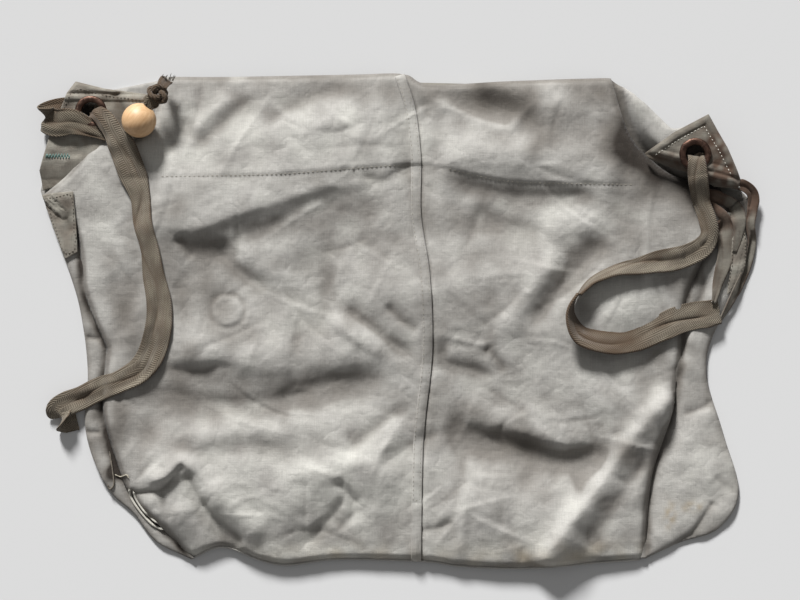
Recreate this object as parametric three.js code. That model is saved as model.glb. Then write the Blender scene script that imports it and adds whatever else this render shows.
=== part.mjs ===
// Mail sack: a cotton canvas sack lying flat on its back, mouth towards +Y.
// Millimetres, +Z up. The origin is under the middle of the sack, on the surface it lies on.
import * as THREE from 'three';

// ---- driving dimensions ----
const SACK_WIDTH = 648;
const SACK_HEIGHT = 448;
const CANVAS = 1.6;
const GAP = 0.4;
const FRONT_Z = 18;
const LEFT_FLAP_Z = 12;
const RIGHT_FLAP_Z = 25;
const FACING_DEPTH = 90;
const BOTTOM_SAG = 7.5;
const SEAM_WIDTH = 16;
const TAPE_THICKNESS = 1.4;
const THREAD_RADIUS = 0.6;
const EYELET_RADIUS = 14.5;
const EYELET_HOLE_RADIUS = 8.5;
const EYELET_METAL = 0.9;
const BEAD_RADIUS = 15.5;
const BEAD_BORE_RADIUS = 4.5;
const BEAD_TILT = THREE.MathUtils.degToRad(10);
const BEAD_HEADING = THREE.MathUtils.degToRad(53);
const KNOT_DISTANCE = 30;

// ---- places worked out from them ----
const RIGHT = SACK_WIDTH / 2;
const TOP = SACK_HEIGHT / 2;
const BACK_TOP = CANVAS;
const FRONT_TOP = FRONT_Z + CANVAS;
const FOLD_Z = BACK_TOP + GAP;
const ON_FRONT = FRONT_TOP + GAP;
const ON_LEFT_FLAP = LEFT_FLAP_Z + CANVAS + GAP;
const BARREL_RADIUS = EYELET_HOLE_RADIUS + EYELET_METAL;
const FLAP_HOLE_RADIUS = BARREL_RADIUS + GAP;
const LEFT_EYELET = [-278, 189];
const RIGHT_EYELET = [266, 150];
const BEAD_CENTRE = new THREE.Vector3(-233, 180, ON_LEFT_FLAP + BEAD_RADIUS);
const BEAD_AXIS = new THREE.Vector3(
  Math.cos(BEAD_HEADING) * Math.cos(BEAD_TILT),
  Math.sin(BEAD_HEADING) * Math.cos(BEAD_TILT),
  Math.sin(BEAD_TILT)
);

// ---- edges of the canvas pieces, each from the mouth down: [x, y] ----
// A smooth line through a few points.
function curved(points, steps) {
  const line = new THREE.SplineCurve(points.map(([x, y]) => new THREE.Vector2(x, y)));
  return line.getPoints(steps).map(({ x, y }) => [x, y]);
}

const HEM_Y = BOTTOM_SAG - TOP;
const CENTRE_EDGE = curved([[5, TOP], [22, 115], [30, -30], [22, -115], [20, HEM_Y]], 12);
const LEFT_SEAM = [
  [-212, 220], [-213, 190], [-215, 165], [-225, 157], [-260, 150], [-295, 120],
  ...curved([[-290, 80], [-265, -30], [-265, -110], [-240, -165]], 8), [-190, -215]
];
const RIGHT_SEAM = [
  [190, 220], [200, 175], [220, 150], [265, 125], [300, 115],
  ...curved([[285, 80], [260, 10], [255, -60], [230, -140], [225, HEM_Y]], 10)
];
const LEFT_FOLD = curved(
  [[-RIGHT, 118], [-300, 45], [-283, -45], [-275, -125], [-240, -180], [-195, -214]], 14
);
const RIGHT_FOLD = curved(
  [[RIGHT, 115], [316, 60], [283, -15], [290, -80], [310, -150], [285, -195], [238, -214]], 16
);
const BACK_LEFT_EDGE = [[-213, 220], [-285, 205], [-305, 180], [-320, 145], ...LEFT_FOLD];
const BACK_RIGHT_EDGE = [[192, 220], [220, 195], [245, 175], [265, 150], [300, 125], ...RIGHT_FOLD];
const LEFT_FLAP_OUTLINE = [
  [-290, 215], [-225, 205], [-230, 160], [-260, 155], [-290, 135], [-318, 123], [-305, 190]
];
const RIGHT_FLAP_OUTLINE = [[220, 155], [280, 185], [310, 130], [290, 120], [265, 130], [235, 145]];

// Tape routes: x, y, height of the lower side, width, heading of the width in degrees, tilt in degrees.
const upThrough = ([x, y], heights, heading) => heights.map((low) => [x, y, low, 10, heading, 0]);
const LEFT_TAPE_ROUTE = [
  ...upThrough([LEFT_EYELET[0] + 3, LEFT_EYELET[1] - 2], [4, 10, 15.6], 53),
  [-270, 183, 18.8, 11, 50, 0], [-263, 176, 18, 13, 30, 0], [-260, 165, 18, 13, 15, 0],
  [-257, 154, 19.8, 16, 15, 0], [-248, 140, 20.8, 23, 20, 0], [-235, 105, 20.8, 25, 15, 0],
  [-220, 55, 20.8, 25, 12, 0], [-215, 10, 20.8, 25, 0, 0], [-222, -30, 20.8, 24, -25, 0],
  [-240, -50, 20.8, 24, -60, 0], [-265, -61, 21.2, 22, -70, 0], [-286, -69, 14, 22, -68, 0],
  [-303, -75, 10.5, 22, -65, 0], [-309, -78, 8, 22, -65, 0], [-303, -79, 5.5, 22, -68, 0],
  [-290, -80, 5, 22, -74, 0]
];
const RIGHT_TAPE_ROUTE = [
  ...upThrough([RIGHT_EYELET[0], RIGHT_EYELET[1] - 3.5], [14, 23, 28.6], 4),
  [267, 140, 31.6, 12, 6, 0], [268, 128, 29.6, 15, 8, 0], [271, 113, 22.5, 15, 10, 0],
  [276, 95, 20.8, 17, 5, 0], [274, 72, 20.8, 20, -40, 0], [255, 60, 20.8, 23, -68, 0],
  [225, 54, 20.8, 25, -75, 35], [190, 45, 20.8, 25, -70, 72], [165, 30, 20.8, 25, -40, 78],
  [155, 8, 20.8, 25, 5, 80], [165, -8, 20.8, 25, 50, 78], [190, -15, 20.8, 25, 85, 62],
  [225, -10, 20.8, 25, 105, 28], [258, 3, 21.2, 24, 110, 0], [275, 9, 18.5, 22, 105, 0],
  [290, 12, 12, 20, 100, 0]
];
const FLAP_WRAP_ROUTE = [
  [-295, 176, 8.6, 22, 95, 0], [-310, 178, 8.6, 24, 92, 0], [-321, 180, 12, 25, 90, 0],
  [-310, 180, 15.6, 24, 88, 0], [-292, 176, 15.6, 20, 80, 0], [-272, 168, 15.6, 11, 75, 0],
  [-260, 165, 15.2, 9, 80, 0], [-251, 163, 15.8, 7, 95, 0]
];
const BEAD_TAPE_WIDTH = 6.5;
const BEAD_TAPE_START = -20;
const BEAD_TAPE_END = 21.5;

// ---- finishes ----
const finish = (color, roughness, metalness) => () =>
  new THREE.MeshStandardMaterial({ color, roughness, metalness });
const canvas = finish(0xb4b0a4, 0.95, 0);
const canvasInside = finish(0x9c978a, 0.95, 0);
const herringbone = finish(0x9a8d78, 0.9, 0);
const oliveTape = finish(0x6e6348, 0.9, 0);
const thread = finish(0xcfcabb, 0.8, 0);
const greenThread = finish(0x6f8a80, 0.8, 0);
const eyeletMetal = finish(0x6e463a, 0.5, 0.8);
const beadWood = finish(0xe0b483, 0.55, 0);

const sack = new THREE.Group();

function addPiece(name, geometry, material) {
  const piece = new THREE.Mesh(geometry, material());
  piece.name = name;
  sack.add(piece);
  return piece;
}

// A point of an edge list at height y, straight between its points.
function edgeX(edge, y) {
  const next = edge.findIndex((point) => point[1] <= y);
  if (next === 0) {
    return edge[0][0];
  }
  if (next < 0) {
    return edge[edge.length - 1][0];
  }
  const [x0, y0] = edge[next - 1];
  const [x1, y1] = edge[next];
  return x0 + ((x1 - x0) * (y0 - y)) / (y0 - y1);
}

// A ruled surface between two edges: u runs from edge a to edge b, v from the top down.
function ruled(a, b, options = {}) {
  const { zA = 0, zB = 0, sag = 0, shift = 0 } = options;
  const { fromA = a[0][1], fromB = b[0][1] } = options;
  const { toA = a[a.length - 1][1], toB = b[b.length - 1][1] } = options;
  return (u, v) => {
    const yA = THREE.MathUtils.lerp(fromA, toA, v);
    const yB = THREE.MathUtils.lerp(fromB, toB, v);
    const start = new THREE.Vector3(edgeX(a, yA) + shift, yA, zA);
    const end = new THREE.Vector3(edgeX(b, yB) - shift, yB, zB);
    const point = start.lerp(end, u);
    point.y -= sag * Math.sin(Math.PI * u) * v ** 6;
    return point;
  };
}

// A closed sheet of canvas on a surface, its lower face on the surface and its upper face thickness above.
function sheetSolid(surface, columns, rows, thickness) {
  const vertices = [];
  for (const lift of [thickness, 0]) {
    for (let row = 0; row <= rows; row += 1) {
      for (let column = 0; column <= columns; column += 1) {
        const point = surface(column / columns, row / rows);
        vertices.push(point.x, point.y, point.z + lift);
      }
    }
  }
  const layer = (columns + 1) * (rows + 1);
  const top = (column, row) => row * (columns + 1) + column;
  const faces = [];
  const quad = (a, b, c, d) => faces.push(a, b, c, a, c, d);
  for (let row = 0; row < rows; row += 1) {
    for (let column = 0; column < columns; column += 1) {
      const [left, right] = [column, column + 1];
      const corners = [top(left, row), top(left, row + 1), top(right, row + 1), top(right, row)];
      quad(...corners);
      quad(...corners.map((corner) => corner + layer).reverse());
    }
    const [left, right] = [0, columns];
    quad(top(left, row), top(left, row) + layer, top(left, row + 1) + layer, top(left, row + 1));
    quad(top(right, row + 1), top(right, row + 1) + layer, top(right, row) + layer, top(right, row));
  }
  for (let column = 0; column < columns; column += 1) {
    const [left, right] = [column, column + 1];
    quad(top(right, 0), top(right, 0) + layer, top(left, 0) + layer, top(left, 0));
    quad(top(left, rows), top(left, rows) + layer, top(right, rows) + layer, top(right, rows));
  }
  return solidOf(vertices, faces);
}

function solidOf(vertices, faces) {
  const geometry = new THREE.BufferGeometry();
  geometry.setAttribute('position', new THREE.Float32BufferAttribute(vertices, 3));
  geometry.setIndex(faces);
  return geometry;
}

// A flat tape carried along its route: a rectangular section, turned and tilted as the route says.
function tapeSolid(route, steps, thickness = TAPE_THICKNESS) {
  const centres = route.map(([x, y, low, width, , tilt]) => {
    const rise = (width / 2) * Math.sin(THREE.MathUtils.degToRad(tilt));
    return new THREE.Vector3(x, y, low + rise + thickness / 2);
  });
  const path = new THREE.CatmullRomCurve3(centres, false, 'centripetal');
  const sections = route.map(([, , , width, heading, tilt]) => new THREE.Vector3(width, heading, tilt));
  const turns = new THREE.CatmullRomCurve3(sections, false, 'catmullrom', 0.2);
  const vertices = [];
  for (let step = 0; step <= steps; step += 1) {
    const centre = path.getPoint(step / steps);
    const along = path.getTangent(step / steps);
    const turn = turns.getPoint(step / steps);
    const heading = THREE.MathUtils.degToRad(turn.y);
    const tilt = THREE.MathUtils.degToRad(turn.z);
    const across = new THREE.Vector3(
      Math.cos(heading) * Math.cos(tilt), Math.sin(heading) * Math.cos(tilt), Math.sin(tilt)
    );
    across.addScaledVector(along, -across.dot(along)).normalize();
    const normal = new THREE.Vector3().crossVectors(along, across);
    for (const [side, face] of [[1, 1], [-1, 1], [-1, -1], [1, -1]]) {
      const corner = centre.clone();
      corner.addScaledVector(across, (side * turn.x) / 2);
      corner.addScaledVector(normal, (face * thickness) / 2);
      vertices.push(corner.x, corner.y, corner.z);
    }
  }
  const faces = [0, 3, 2, 0, 2, 1];
  for (let step = 0; step < steps; step += 1) {
    for (let side = 0; side < 4; side += 1) {
      const here = step * 4 + side;
      const next = step * 4 + ((side + 1) % 4);
      faces.push(here, next, next + 4, here, next + 4, here + 4);
    }
  }
  const last = steps * 4;
  faces.push(last, last + 1, last + 2, last, last + 2, last + 3);
  return solidOf(vertices, faces);
}

// A flat plate of one outline, with round holes, its lower face at z.
function plateSolid(outline, z, thickness, holes = []) {
  const corners = outline.map(([x, y]) => new THREE.Vector2(x, y));
  const anticlockwise = THREE.ShapeUtils.isClockWise(corners) ? corners.reverse() : corners;
  const shape = new THREE.Shape(anticlockwise);
  for (const { centre, radius } of holes) {
    shape.holes.push(new THREE.Path().absarc(centre[0], centre[1], radius, 0, 2 * Math.PI, true));
  }
  const extrusion = { depth: thickness, bevelEnabled: false, curveSegments: 12 };
  const geometry = new THREE.ExtrudeGeometry(shape, extrusion);
  return geometry.translate(0, 0, z);
}

// A thread laid along points, six-sided.
function threadSolid(points, steps) {
  const section = new THREE.Shape().absarc(0, 0, THREAD_RADIUS, 0, 2 * Math.PI, false);
  const path = new THREE.CatmullRomCurve3(points, false, 'catmullrom', 0.3);
  const extrusion = { steps, extrudePath: path, curveSegments: 3, bevelEnabled: false };
  return new THREE.ExtrudeGeometry(section, extrusion);
}

const flatThread = (outline, z, steps) =>
  threadSolid(outline.map(([x, y]) => new THREE.Vector3(x, y, z)), steps);

// ---- body of the sack ----
function addCanvasBody() {
  const back = ruled(BACK_LEFT_EDGE, BACK_RIGHT_EDGE, { sag: 6, shift: 1 });
  addPiece('back_panel', sheetSolid(back, 10, 40, CANVAS), canvas);

  const frontLeft = ruled(LEFT_SEAM, CENTRE_EDGE, { zA: FRONT_Z, zB: FRONT_Z, shift: GAP / 2 });
  addPiece('front_left_panel', sheetSolid(frontLeft, 6, 40, CANVAS), canvas);
  const slack = { zA: FRONT_Z, zB: FRONT_Z, shift: GAP / 2, sag: BOTTOM_SAG };
  const frontRight = ruled(CENTRE_EDGE, RIGHT_SEAM, slack);
  addPiece('front_right_panel', sheetSolid(frontRight, 8, 40, CANVAS), canvas);

  const seamStart = CENTRE_EDGE.map(([x, y]) => [x - SEAM_WIDTH, y - 2]);
  const seamStrip = ruled(seamStart, CENTRE_EDGE, { zA: ON_FRONT, zB: ON_FRONT, shift: GAP });
  addPiece('centre_seam_strip', sheetSolid(seamStrip, 1, 24, CANVAS), canvas);

  const bottomLine = [[-185, -209], [20, -211], [120, -217], [215, -210]];
  const bottomBand = [...bottomLine, ...bottomLine.map(([x, y]) => [x, y + CANVAS]).reverse()];
  const bottomHeight = FRONT_Z - BACK_TOP - 2 * GAP;
  addPiece('bottom_strip', plateSolid(bottomBand, BACK_TOP + GAP, bottomHeight), canvas);

  const lowerEdge = TOP - FACING_DEPTH;
  const facing = [[-205, 215], [-210, 160], [-210, lowerEdge], [210, lowerEdge], [195, 170], [185, 215]];
  addPiece('front_mouth_facing', plateSolid(facing, FRONT_Z - GAP - CANVAS, CANVAS), canvasInside);
  addPiece('back_mouth_facing', plateSolid(facing, BACK_TOP + GAP, CANVAS), canvasInside);
}

// ---- side gussets, their patches and the stitching of the patches ----
const gussetSides = {
  left: { seam: LEFT_SEAM, fold: LEFT_FOLD, from: 121, to: -213, side: -1 },
  right: { seam: RIGHT_SEAM, fold: RIGHT_FOLD, from: 115, to: -214, side: 1 }
};

// A point of a gusset: u runs from the side seam out to the fold, y is the height on the sack.
function onGusset({ seam, fold, side }, u, y, lift) {
  const inner = edgeX(seam, y) + side * GAP;
  const outer = edgeX(fold, y);
  const height = THREE.MathUtils.lerp(FRONT_Z, FOLD_Z, u);
  return new THREE.Vector3(THREE.MathUtils.lerp(inner, outer, u), y, height + lift);
}

function gussetRegion(gusset, [u0, u1], [y0, y1], lift) {
  const [first, last] = gusset.side > 0 ? [u0, u1] : [u1, u0];
  return (u, v) =>
    onGusset(gusset, THREE.MathUtils.lerp(first, last, u), THREE.MathUtils.lerp(y0, y1, v), lift);
}

function addGusset(name, gusset, patch) {
  const cloth = gussetRegion(gusset, [0, 1], [gusset.from, gusset.to], 0);
  addPiece(`${name}_gusset`, sheetSolid(cloth, 3, 44, CANVAS), canvas);

  const patchLift = CANVAS + 2 * GAP;
  const patchCloth = gussetRegion(gusset, patch.across, patch.down, patchLift);
  addPiece(`${name}_side_patch`, sheetSolid(patchCloth, 3, 8, CANVAS), canvas);

  const inset = 4;
  const [uIn, uOut] = [patch.across[0] + patch.inset, patch.across[1] - patch.inset];
  const [high, low] = [patch.down[0] - inset, patch.down[1] + inset];
  const threadLift = patchLift + CANVAS + 3 * GAP + THREAD_RADIUS;
  const corners = [[uOut, high - 2], [uOut, low], [uIn, low], [uIn, high], [uOut - patch.inset, high]];
  const route = corners.map(([u, y]) => onGusset(gusset, u, y, threadLift));
  addPiece(`${name}_patch_stitching`, threadSolid(route, 32), thread);
}

// ---- corner flaps with their eyelets ----
// A set eyelet: a flanged barrel above and a washer below, as rings turned about +Z.
function addEyelet(name, [x, y], flapZ) {
  const flangeLow = flapZ + CANVAS + GAP - 0.1;
  const flangeTop = flangeLow + 1.2;
  const washerTop = flapZ - GAP;
  const washerLow = washerTop - EYELET_METAL;
  const ring = (profile) => {
    const points = profile.map(([radius, z]) => new THREE.Vector2(radius, z));
    const geometry = new THREE.LatheGeometry([...points, points[0]], 28);
    return geometry.rotateX(Math.PI / 2).translate(x, y, 0);
  };
  const barrel = ring([
    [EYELET_HOLE_RADIUS, washerLow - 1], [BARREL_RADIUS, washerLow - 1], [BARREL_RADIUS, flangeLow],
    [EYELET_RADIUS, flangeLow], [EYELET_RADIUS, flangeTop - 0.5], [EYELET_RADIUS - 0.6, flangeTop],
    [EYELET_HOLE_RADIUS + 0.7, flangeTop], [EYELET_HOLE_RADIUS, flangeTop - 0.5]
  ]);
  addPiece(`${name}_eyelet_barrel`, barrel, eyeletMetal);
  const washer = ring([
    [FLAP_HOLE_RADIUS, washerLow], [EYELET_RADIUS, washerLow], [EYELET_RADIUS, washerTop],
    [FLAP_HOLE_RADIUS, washerTop]
  ]);
  addPiece(`${name}_eyelet_washer`, washer, eyeletMetal);
}

function addFlap(name, outline, flapZ, eyelet, stitchLine) {
  const hole = { centre: eyelet, radius: FLAP_HOLE_RADIUS };
  addPiece(`${name}_corner_flap`, plateSolid(outline, flapZ, CANVAS, [hole]), canvas);
  const threadZ = flapZ + CANVAS + GAP + THREAD_RADIUS;
  addPiece(`${name}_flap_stitching`, flatThread(stitchLine, threadZ, 30), thread);
  addEyelet(name, eyelet, flapZ);
}

// ---- rows of stitching on the front ----
function addFrontStitching() {
  const rowGap = 9;
  const seamLine = CENTRE_EDGE.slice(0, -1).map(([x, y]) => [x - 3.5, y - 4]);
  const secondRow = seamLine.map(([x, y]) => [x - rowGap, y]).reverse();
  const z = ON_FRONT + CANVAS + GAP + THREAD_RADIUS;
  addPiece('centre_seam_stitching', flatThread([...seamLine, ...secondRow], z, 56), thread);

  const facingZ = ON_FRONT + THREAD_RADIUS;
  const leftRow = [[-210, 132], [-110, 132], [-4, 138]];
  const rightRow = [[26, 138], [110, 125], [206, 123]];
  addPiece('left_facing_stitching', flatThread(leftRow, facingZ, 16), thread);
  addPiece('right_facing_stitching', flatThread(rightRow, facingZ, 16), thread);
}

function addBarTack() {
  const [startX, y, pitch, swing, turns] = [-312, 149, 3.4, 3, 6];
  const points = [];
  for (let turn = 0; turn <= turns; turn += 1) {
    points.push([startX + turn * pitch, y + (turn % 2 ? swing : -swing)]);
  }
  addPiece('left_flap_bar_tack', flatThread(points, ON_LEFT_FLAP + THREAD_RADIUS, 36), greenThread);
}

// ---- the tapes, the bead and its knot ----
function onBeadAxis(distance) {
  return BEAD_CENTRE.clone().addScaledVector(BEAD_AXIS, distance);
}

function addTapes() {
  addPiece('left_tape', tapeSolid(LEFT_TAPE_ROUTE, 66), herringbone);
  addPiece('right_tape', tapeSolid(RIGHT_TAPE_ROUTE, 76), herringbone);

  const beadHeading = THREE.MathUtils.radToDeg(BEAD_HEADING) + 90;
  const throughBead = [BEAD_TAPE_START, -8, 6, BEAD_TAPE_END].map((distance) => {
    const point = onBeadAxis(distance);
    return [point.x, point.y, point.z - TAPE_THICKNESS / 2, BEAD_TAPE_WIDTH, beadHeading, 0];
  });
  addPiece('bead_tape', tapeSolid([...FLAP_WRAP_ROUTE, ...throughBead], 52), oliveTape);
}

function addBead() {
  const halfBore = Math.sqrt(BEAD_RADIUS ** 2 - BEAD_BORE_RADIUS ** 2);
  const poleAngle = Math.atan2(halfBore, BEAD_BORE_RADIUS);
  const arcSteps = 14;
  const profile = [];
  for (let step = 0; step <= arcSteps; step += 1) {
    const angle = THREE.MathUtils.lerp(-poleAngle, poleAngle, step / arcSteps);
    profile.push(new THREE.Vector2(BEAD_RADIUS * Math.cos(angle), BEAD_RADIUS * Math.sin(angle)));
  }
  profile.push(profile[0]);
  const bead = addPiece('wooden_bead', new THREE.LatheGeometry(profile, 28), beadWood);
  bead.position.copy(BEAD_CENTRE);
  bead.quaternion.setFromUnitVectors(new THREE.Vector3(0, 1, 0), BEAD_AXIS);
}

function addKnot() {
  const knot = addPiece('bead_tape_knot', new THREE.TorusKnotGeometry(4.2, 1.9, 60, 6, 2, 3), oliveTape);
  knot.position.copy(onBeadAxis(KNOT_DISTANCE));
  const tailStart = onBeadAxis(KNOT_DISTANCE + 9);
  const tail = [
    [tailStart.x, tailStart.y, tailStart.z, 7, 145, 0],
    [tailStart.x + 1, tailStart.y + 4, tailStart.z - 4, 9, 150, 0],
    [tailStart.x + 3, tailStart.y + 7, tailStart.z - 9, 10, 155, 0]
  ];
  addPiece('bead_tape_tail', tapeSolid(tail, 6), oliveTape);
}

addCanvasBody();
addGusset('left', gussetSides.left, { across: [0.1, 0.9], down: [113, 60], inset: 0.14 });
addGusset('right', gussetSides.right, { across: [0.5, 0.93], down: [70, 27], inset: 0.1 });
const LEFT_HEM_LINE = [[-232, 200], [-286, 208], [-300, 185], [-310, 155]];
const RIGHT_HEM_LINE = [[228, 153], [276, 177], [300, 132]];
addFlap('left', LEFT_FLAP_OUTLINE, LEFT_FLAP_Z, LEFT_EYELET, LEFT_HEM_LINE);
addFlap('right', RIGHT_FLAP_OUTLINE, RIGHT_FLAP_Z, RIGHT_EYELET, RIGHT_HEM_LINE);
addFrontStitching();
addBarTack();
addTapes();
addBead();
addKnot();

export default sack;
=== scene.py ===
import bpy
import numpy as np
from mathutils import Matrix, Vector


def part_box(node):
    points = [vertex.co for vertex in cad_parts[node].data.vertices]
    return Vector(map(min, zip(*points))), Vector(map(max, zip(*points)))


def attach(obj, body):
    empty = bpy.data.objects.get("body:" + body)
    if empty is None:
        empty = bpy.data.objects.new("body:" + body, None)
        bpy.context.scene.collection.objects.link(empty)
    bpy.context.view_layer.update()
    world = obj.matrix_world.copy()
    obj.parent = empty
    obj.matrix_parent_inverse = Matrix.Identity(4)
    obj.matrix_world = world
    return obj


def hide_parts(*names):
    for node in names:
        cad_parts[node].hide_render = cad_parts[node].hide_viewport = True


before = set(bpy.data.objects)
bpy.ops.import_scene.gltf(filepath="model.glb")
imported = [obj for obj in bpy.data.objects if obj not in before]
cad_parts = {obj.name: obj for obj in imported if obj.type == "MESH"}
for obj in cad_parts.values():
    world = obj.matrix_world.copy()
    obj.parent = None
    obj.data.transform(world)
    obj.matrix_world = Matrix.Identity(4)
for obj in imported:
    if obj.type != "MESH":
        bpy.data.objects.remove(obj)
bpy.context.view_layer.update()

MM = 0.001

# ---- sizes in millimetres: widths and radii as in the CAD model, cloth and tape a little thinner ----
CANVAS = 1.2
TAPE_WIDTH = 25.0
TAPE_THICKNESS = 1.1
EYELET_RADIUS = 14.5
EYELET_HOLE = 8.5
BEAD_RADIUS = 15.5
BEAD_BORE = 4.5
BEAD_HEADING = np.radians(53)
BEAD_TILT = np.radians(10)
KNOT_DISTANCE = 30.0

# ---- camera in metres, floor (half its side) in millimetres, and light ----
CAMERA_HEIGHT = 2.4
VIEW_WIDTH = 0.72
FLOOR_SIZE = 3000.0
FLOOR_SHADE = 0.61
SUN_STRENGTH = 6.35
SKY_STRENGTH = 0.25


def node_centre(name):
    """The middle of a node's box, in millimetres."""
    low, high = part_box(name)
    return (np.array(low) + np.array(high)) / 2 / MM


LEFT_EYELET = node_centre("left_eyelet_barrel")
RIGHT_EYELET = node_centre("right_eyelet_barrel")
BEAD_CENTRE = node_centre("wooden_bead")
RIGHT_FLAP_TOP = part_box("right_corner_flap")[1][2] / MM
BEAD_AXIS = np.array([
    np.cos(BEAD_HEADING) * np.cos(BEAD_TILT),
    np.sin(BEAD_HEADING) * np.cos(BEAD_TILT),
    np.sin(BEAD_TILT),
])


# ---- camera ----
def add_camera():
    """Straight above the sack, mouth towards the top of the picture."""
    data = bpy.data.cameras.new("camera")
    camera = bpy.data.objects.new("camera", data)
    bpy.context.scene.collection.objects.link(camera)
    data.sensor_width = 36
    data.lens = data.sensor_width * CAMERA_HEIGHT / VIEW_WIDTH
    camera.location = (0.001, 0.019, CAMERA_HEIGHT + 0.02)
    bpy.context.scene.camera = camera


add_camera()


# ---- curves and distances on the flat, in millimetres ----
def smooth(points, steps=8, closed=False):
    """A Catmull-Rom curve through the points: each span is the cubic that leaves a point parallel
    to the chord of its two neighbours."""
    p = np.array(points, float)
    if closed:
        before, here, after, later = np.roll(p, 1, 0), p, np.roll(p, -1, 0), np.roll(p, -2, 0)
    else:
        ext = np.vstack([2 * p[0] - p[1], p, 2 * p[-1] - p[-2]])
        before, here, after, later = ext[:-3], ext[1:-2], ext[2:-1], ext[3:]
    t = np.linspace(0, 1, steps, endpoint=False)[None, :, None]
    a, b, c, d = (q[:, None, :] for q in (before, here, after, later))
    curve = 0.5 * (
        2 * b + (c - a) * t + (2 * a - 5 * b + 4 * c - d) * t**2 + (3 * b - a - 3 * c + d) * t**3
    )
    curve = curve.reshape(-1, p.shape[1])
    return curve if closed else np.vstack([curve, p[-1:]])


def nearest(x, y, line):
    """For each point: distance to a line, the side of it (left is positive), how far along it the
    nearest place is from 0 to 1, and that place."""
    line = np.asarray(line, float)
    best = np.full(x.shape, np.inf)
    side = np.zeros(x.shape)
    along = np.zeros(x.shape)
    place = np.zeros(x.shape + (2,))
    spans = np.hypot(*np.diff(line, axis=0).T)
    total = max(spans.sum(), 1e-9)
    run = 0.0
    for (ax, ay), (bx, by), span in zip(line[:-1], line[1:], spans):
        if span < 1e-9:
            continue
        dx, dy = (bx - ax) / span, (by - ay) / span
        t = np.clip((x - ax) * dx + (y - ay) * dy, 0, span)
        px, py = ax + t * dx, ay + t * dy
        gap = np.hypot(x - px, y - py)
        closer = gap < best
        best = np.where(closer, gap, best)
        side = np.where(closer, np.sign(dx * (y - ay) - dy * (x - ax)), side)
        along = np.where(closer, (run + t) / total, along)
        place[..., 0] = np.where(closer, px, place[..., 0])
        place[..., 1] = np.where(closer, py, place[..., 1])
        run += span
    return best, side, along, place


def distance(x, y, line):
    """Distance to a line."""
    return nearest(x, y, line)[0]


def inside(x, y, outline):
    """True where a point lies within a closed outline: an odd number of its edges pass to the left."""
    count = np.zeros(x.shape, int)
    for (ax, ay), (bx, by) in zip(outline, np.roll(outline, -1, 0)):
        crosses = (ay > y) != (by > y)
        reach = ax + (y - ay) * (bx - ax) / np.where(by == ay, 1e-9, by - ay)
        count += crosses & (x < reach)
    return count % 2 == 1


# ---- folds and crumples ----
def fold(x, y, points, height, left, right, crisp=2.0, fade=0.22):
    """A ridge, or a valley where height is negative: height times exp(-(distance/width)^crisp), with
    its own width on the left and on the right, dying away at both ends of its line."""
    line = smooth(points, 6)
    gap, side, along, _ = nearest(x, y, line)
    width = np.where(side > 0, left, right)
    ends = np.clip(along / fade, 0, 1) * np.clip((1 - along) / fade, 0, 1)
    ends = ends * ends * (3 - 2 * ends)
    return height * np.exp(-(gap / width) ** crisp) * (0.12 + 0.88 * ends)


def ledge(x, y, points, height, reach, edge=2.5):
    """A step down from the left of a line to its right: the left side stands higher by height near
    the line, and the step dies away over reach."""
    line = smooth(points, 6)
    gap, side, along, _ = nearest(x, y, line)
    ends = np.clip(along / 0.15, 0, 1) * np.clip((1 - along) / 0.15, 0, 1)
    rise = 0.5 * (1 + np.tanh(side * gap / edge))
    return height * (rise - 0.5) * np.exp(-gap / reach) * ends


def bump(x, y, centre, height, wide, tall, turn=0.0):
    """A round swelling: height times exp(-(r^2)) with its own width and height, turned by an angle."""
    c, s = np.cos(np.radians(turn)), np.sin(np.radians(turn))
    dx, dy = x - centre[0], y - centre[1]
    return height * np.exp(-(((dx * c + dy * s) / wide) ** 2 + ((dy * c - dx * s) / tall) ** 2))


def ripples(x, y, seed, length, waves=26):
    """Soft noise: the mean of sine waves of about one length in random directions, about -1 to 1."""
    rng = np.random.default_rng(seed)
    total = np.zeros(x.shape)
    for _ in range(waves):
        angle, phase = rng.uniform(0, np.pi), rng.uniform(0, 2 * np.pi)
        k = 2 * np.pi / (length * rng.uniform(0.7, 1.6))
        total += np.sin(k * (x * np.cos(angle) + y * np.sin(angle)) + phase)
    return total / np.sqrt(waves) * 1.2


def crumple(x, y, seed, length):
    """Creased noise: one less the size of soft noise on a warped grid, so it rises to sharp ridges."""
    warp = length * 0.35
    wx = x + warp * ripples(x, y, seed + 1, length * 2)
    wy = y + warp * ripples(x, y, seed + 2, length * 2)
    return 1 - np.abs(ripples(wx, wy, seed, length)) * 1.6


# ---- lines that the cloth follows, from the mouth down ----
CENTRE_LINE = smooth([
    (5, 223), (15, 190), (20, 145), (20, 95), (28, 40), (30, -30), (22, -110), (20, -217),
], 12)
LEFT_EDGE = smooth([(-300, 95), (-290, 70), (-285, 25), (-265, -25)], 8)
LEFT_EDGE_LOW = smooth([
    (-265, -25), (-268, -80), (-255, -130), (-242, -160), (-212, -190), (-190, -215),
], 8)
LEFT_SEAM = np.vstack([LEFT_EDGE, LEFT_EDGE_LOW[1:]])
RIGHT_SEAM = smooth([
    (302, 100), (280, 65), (262, 20), (256, -35), (245, -90), (228, -145), (224, -215),
], 10)
LEFT_OUTER = smooth([
    (-325, 118), (-308, 70), (-290, 15), (-282, -45), (-284, -100), (-265, -150), (-240, -175), (-220, -200),
    (-188, -216),
], 8)
RIGHT_OUTER = smooth([
    (322, 115), (319, 80), (305, 25), (284, -15), (279, -50), (295, -105), (308, -155), (290, -188),
    (254, -201), (224, -215),
], 8)
BOTTOM_EDGE = smooth([
    (-190, -215), (-160, -204), (-125, -216), (-100, -220), (-55, -215), (25, -217), (55, -221), (115, -223),
    (180, -218), (224, -215),
], 8)
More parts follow.
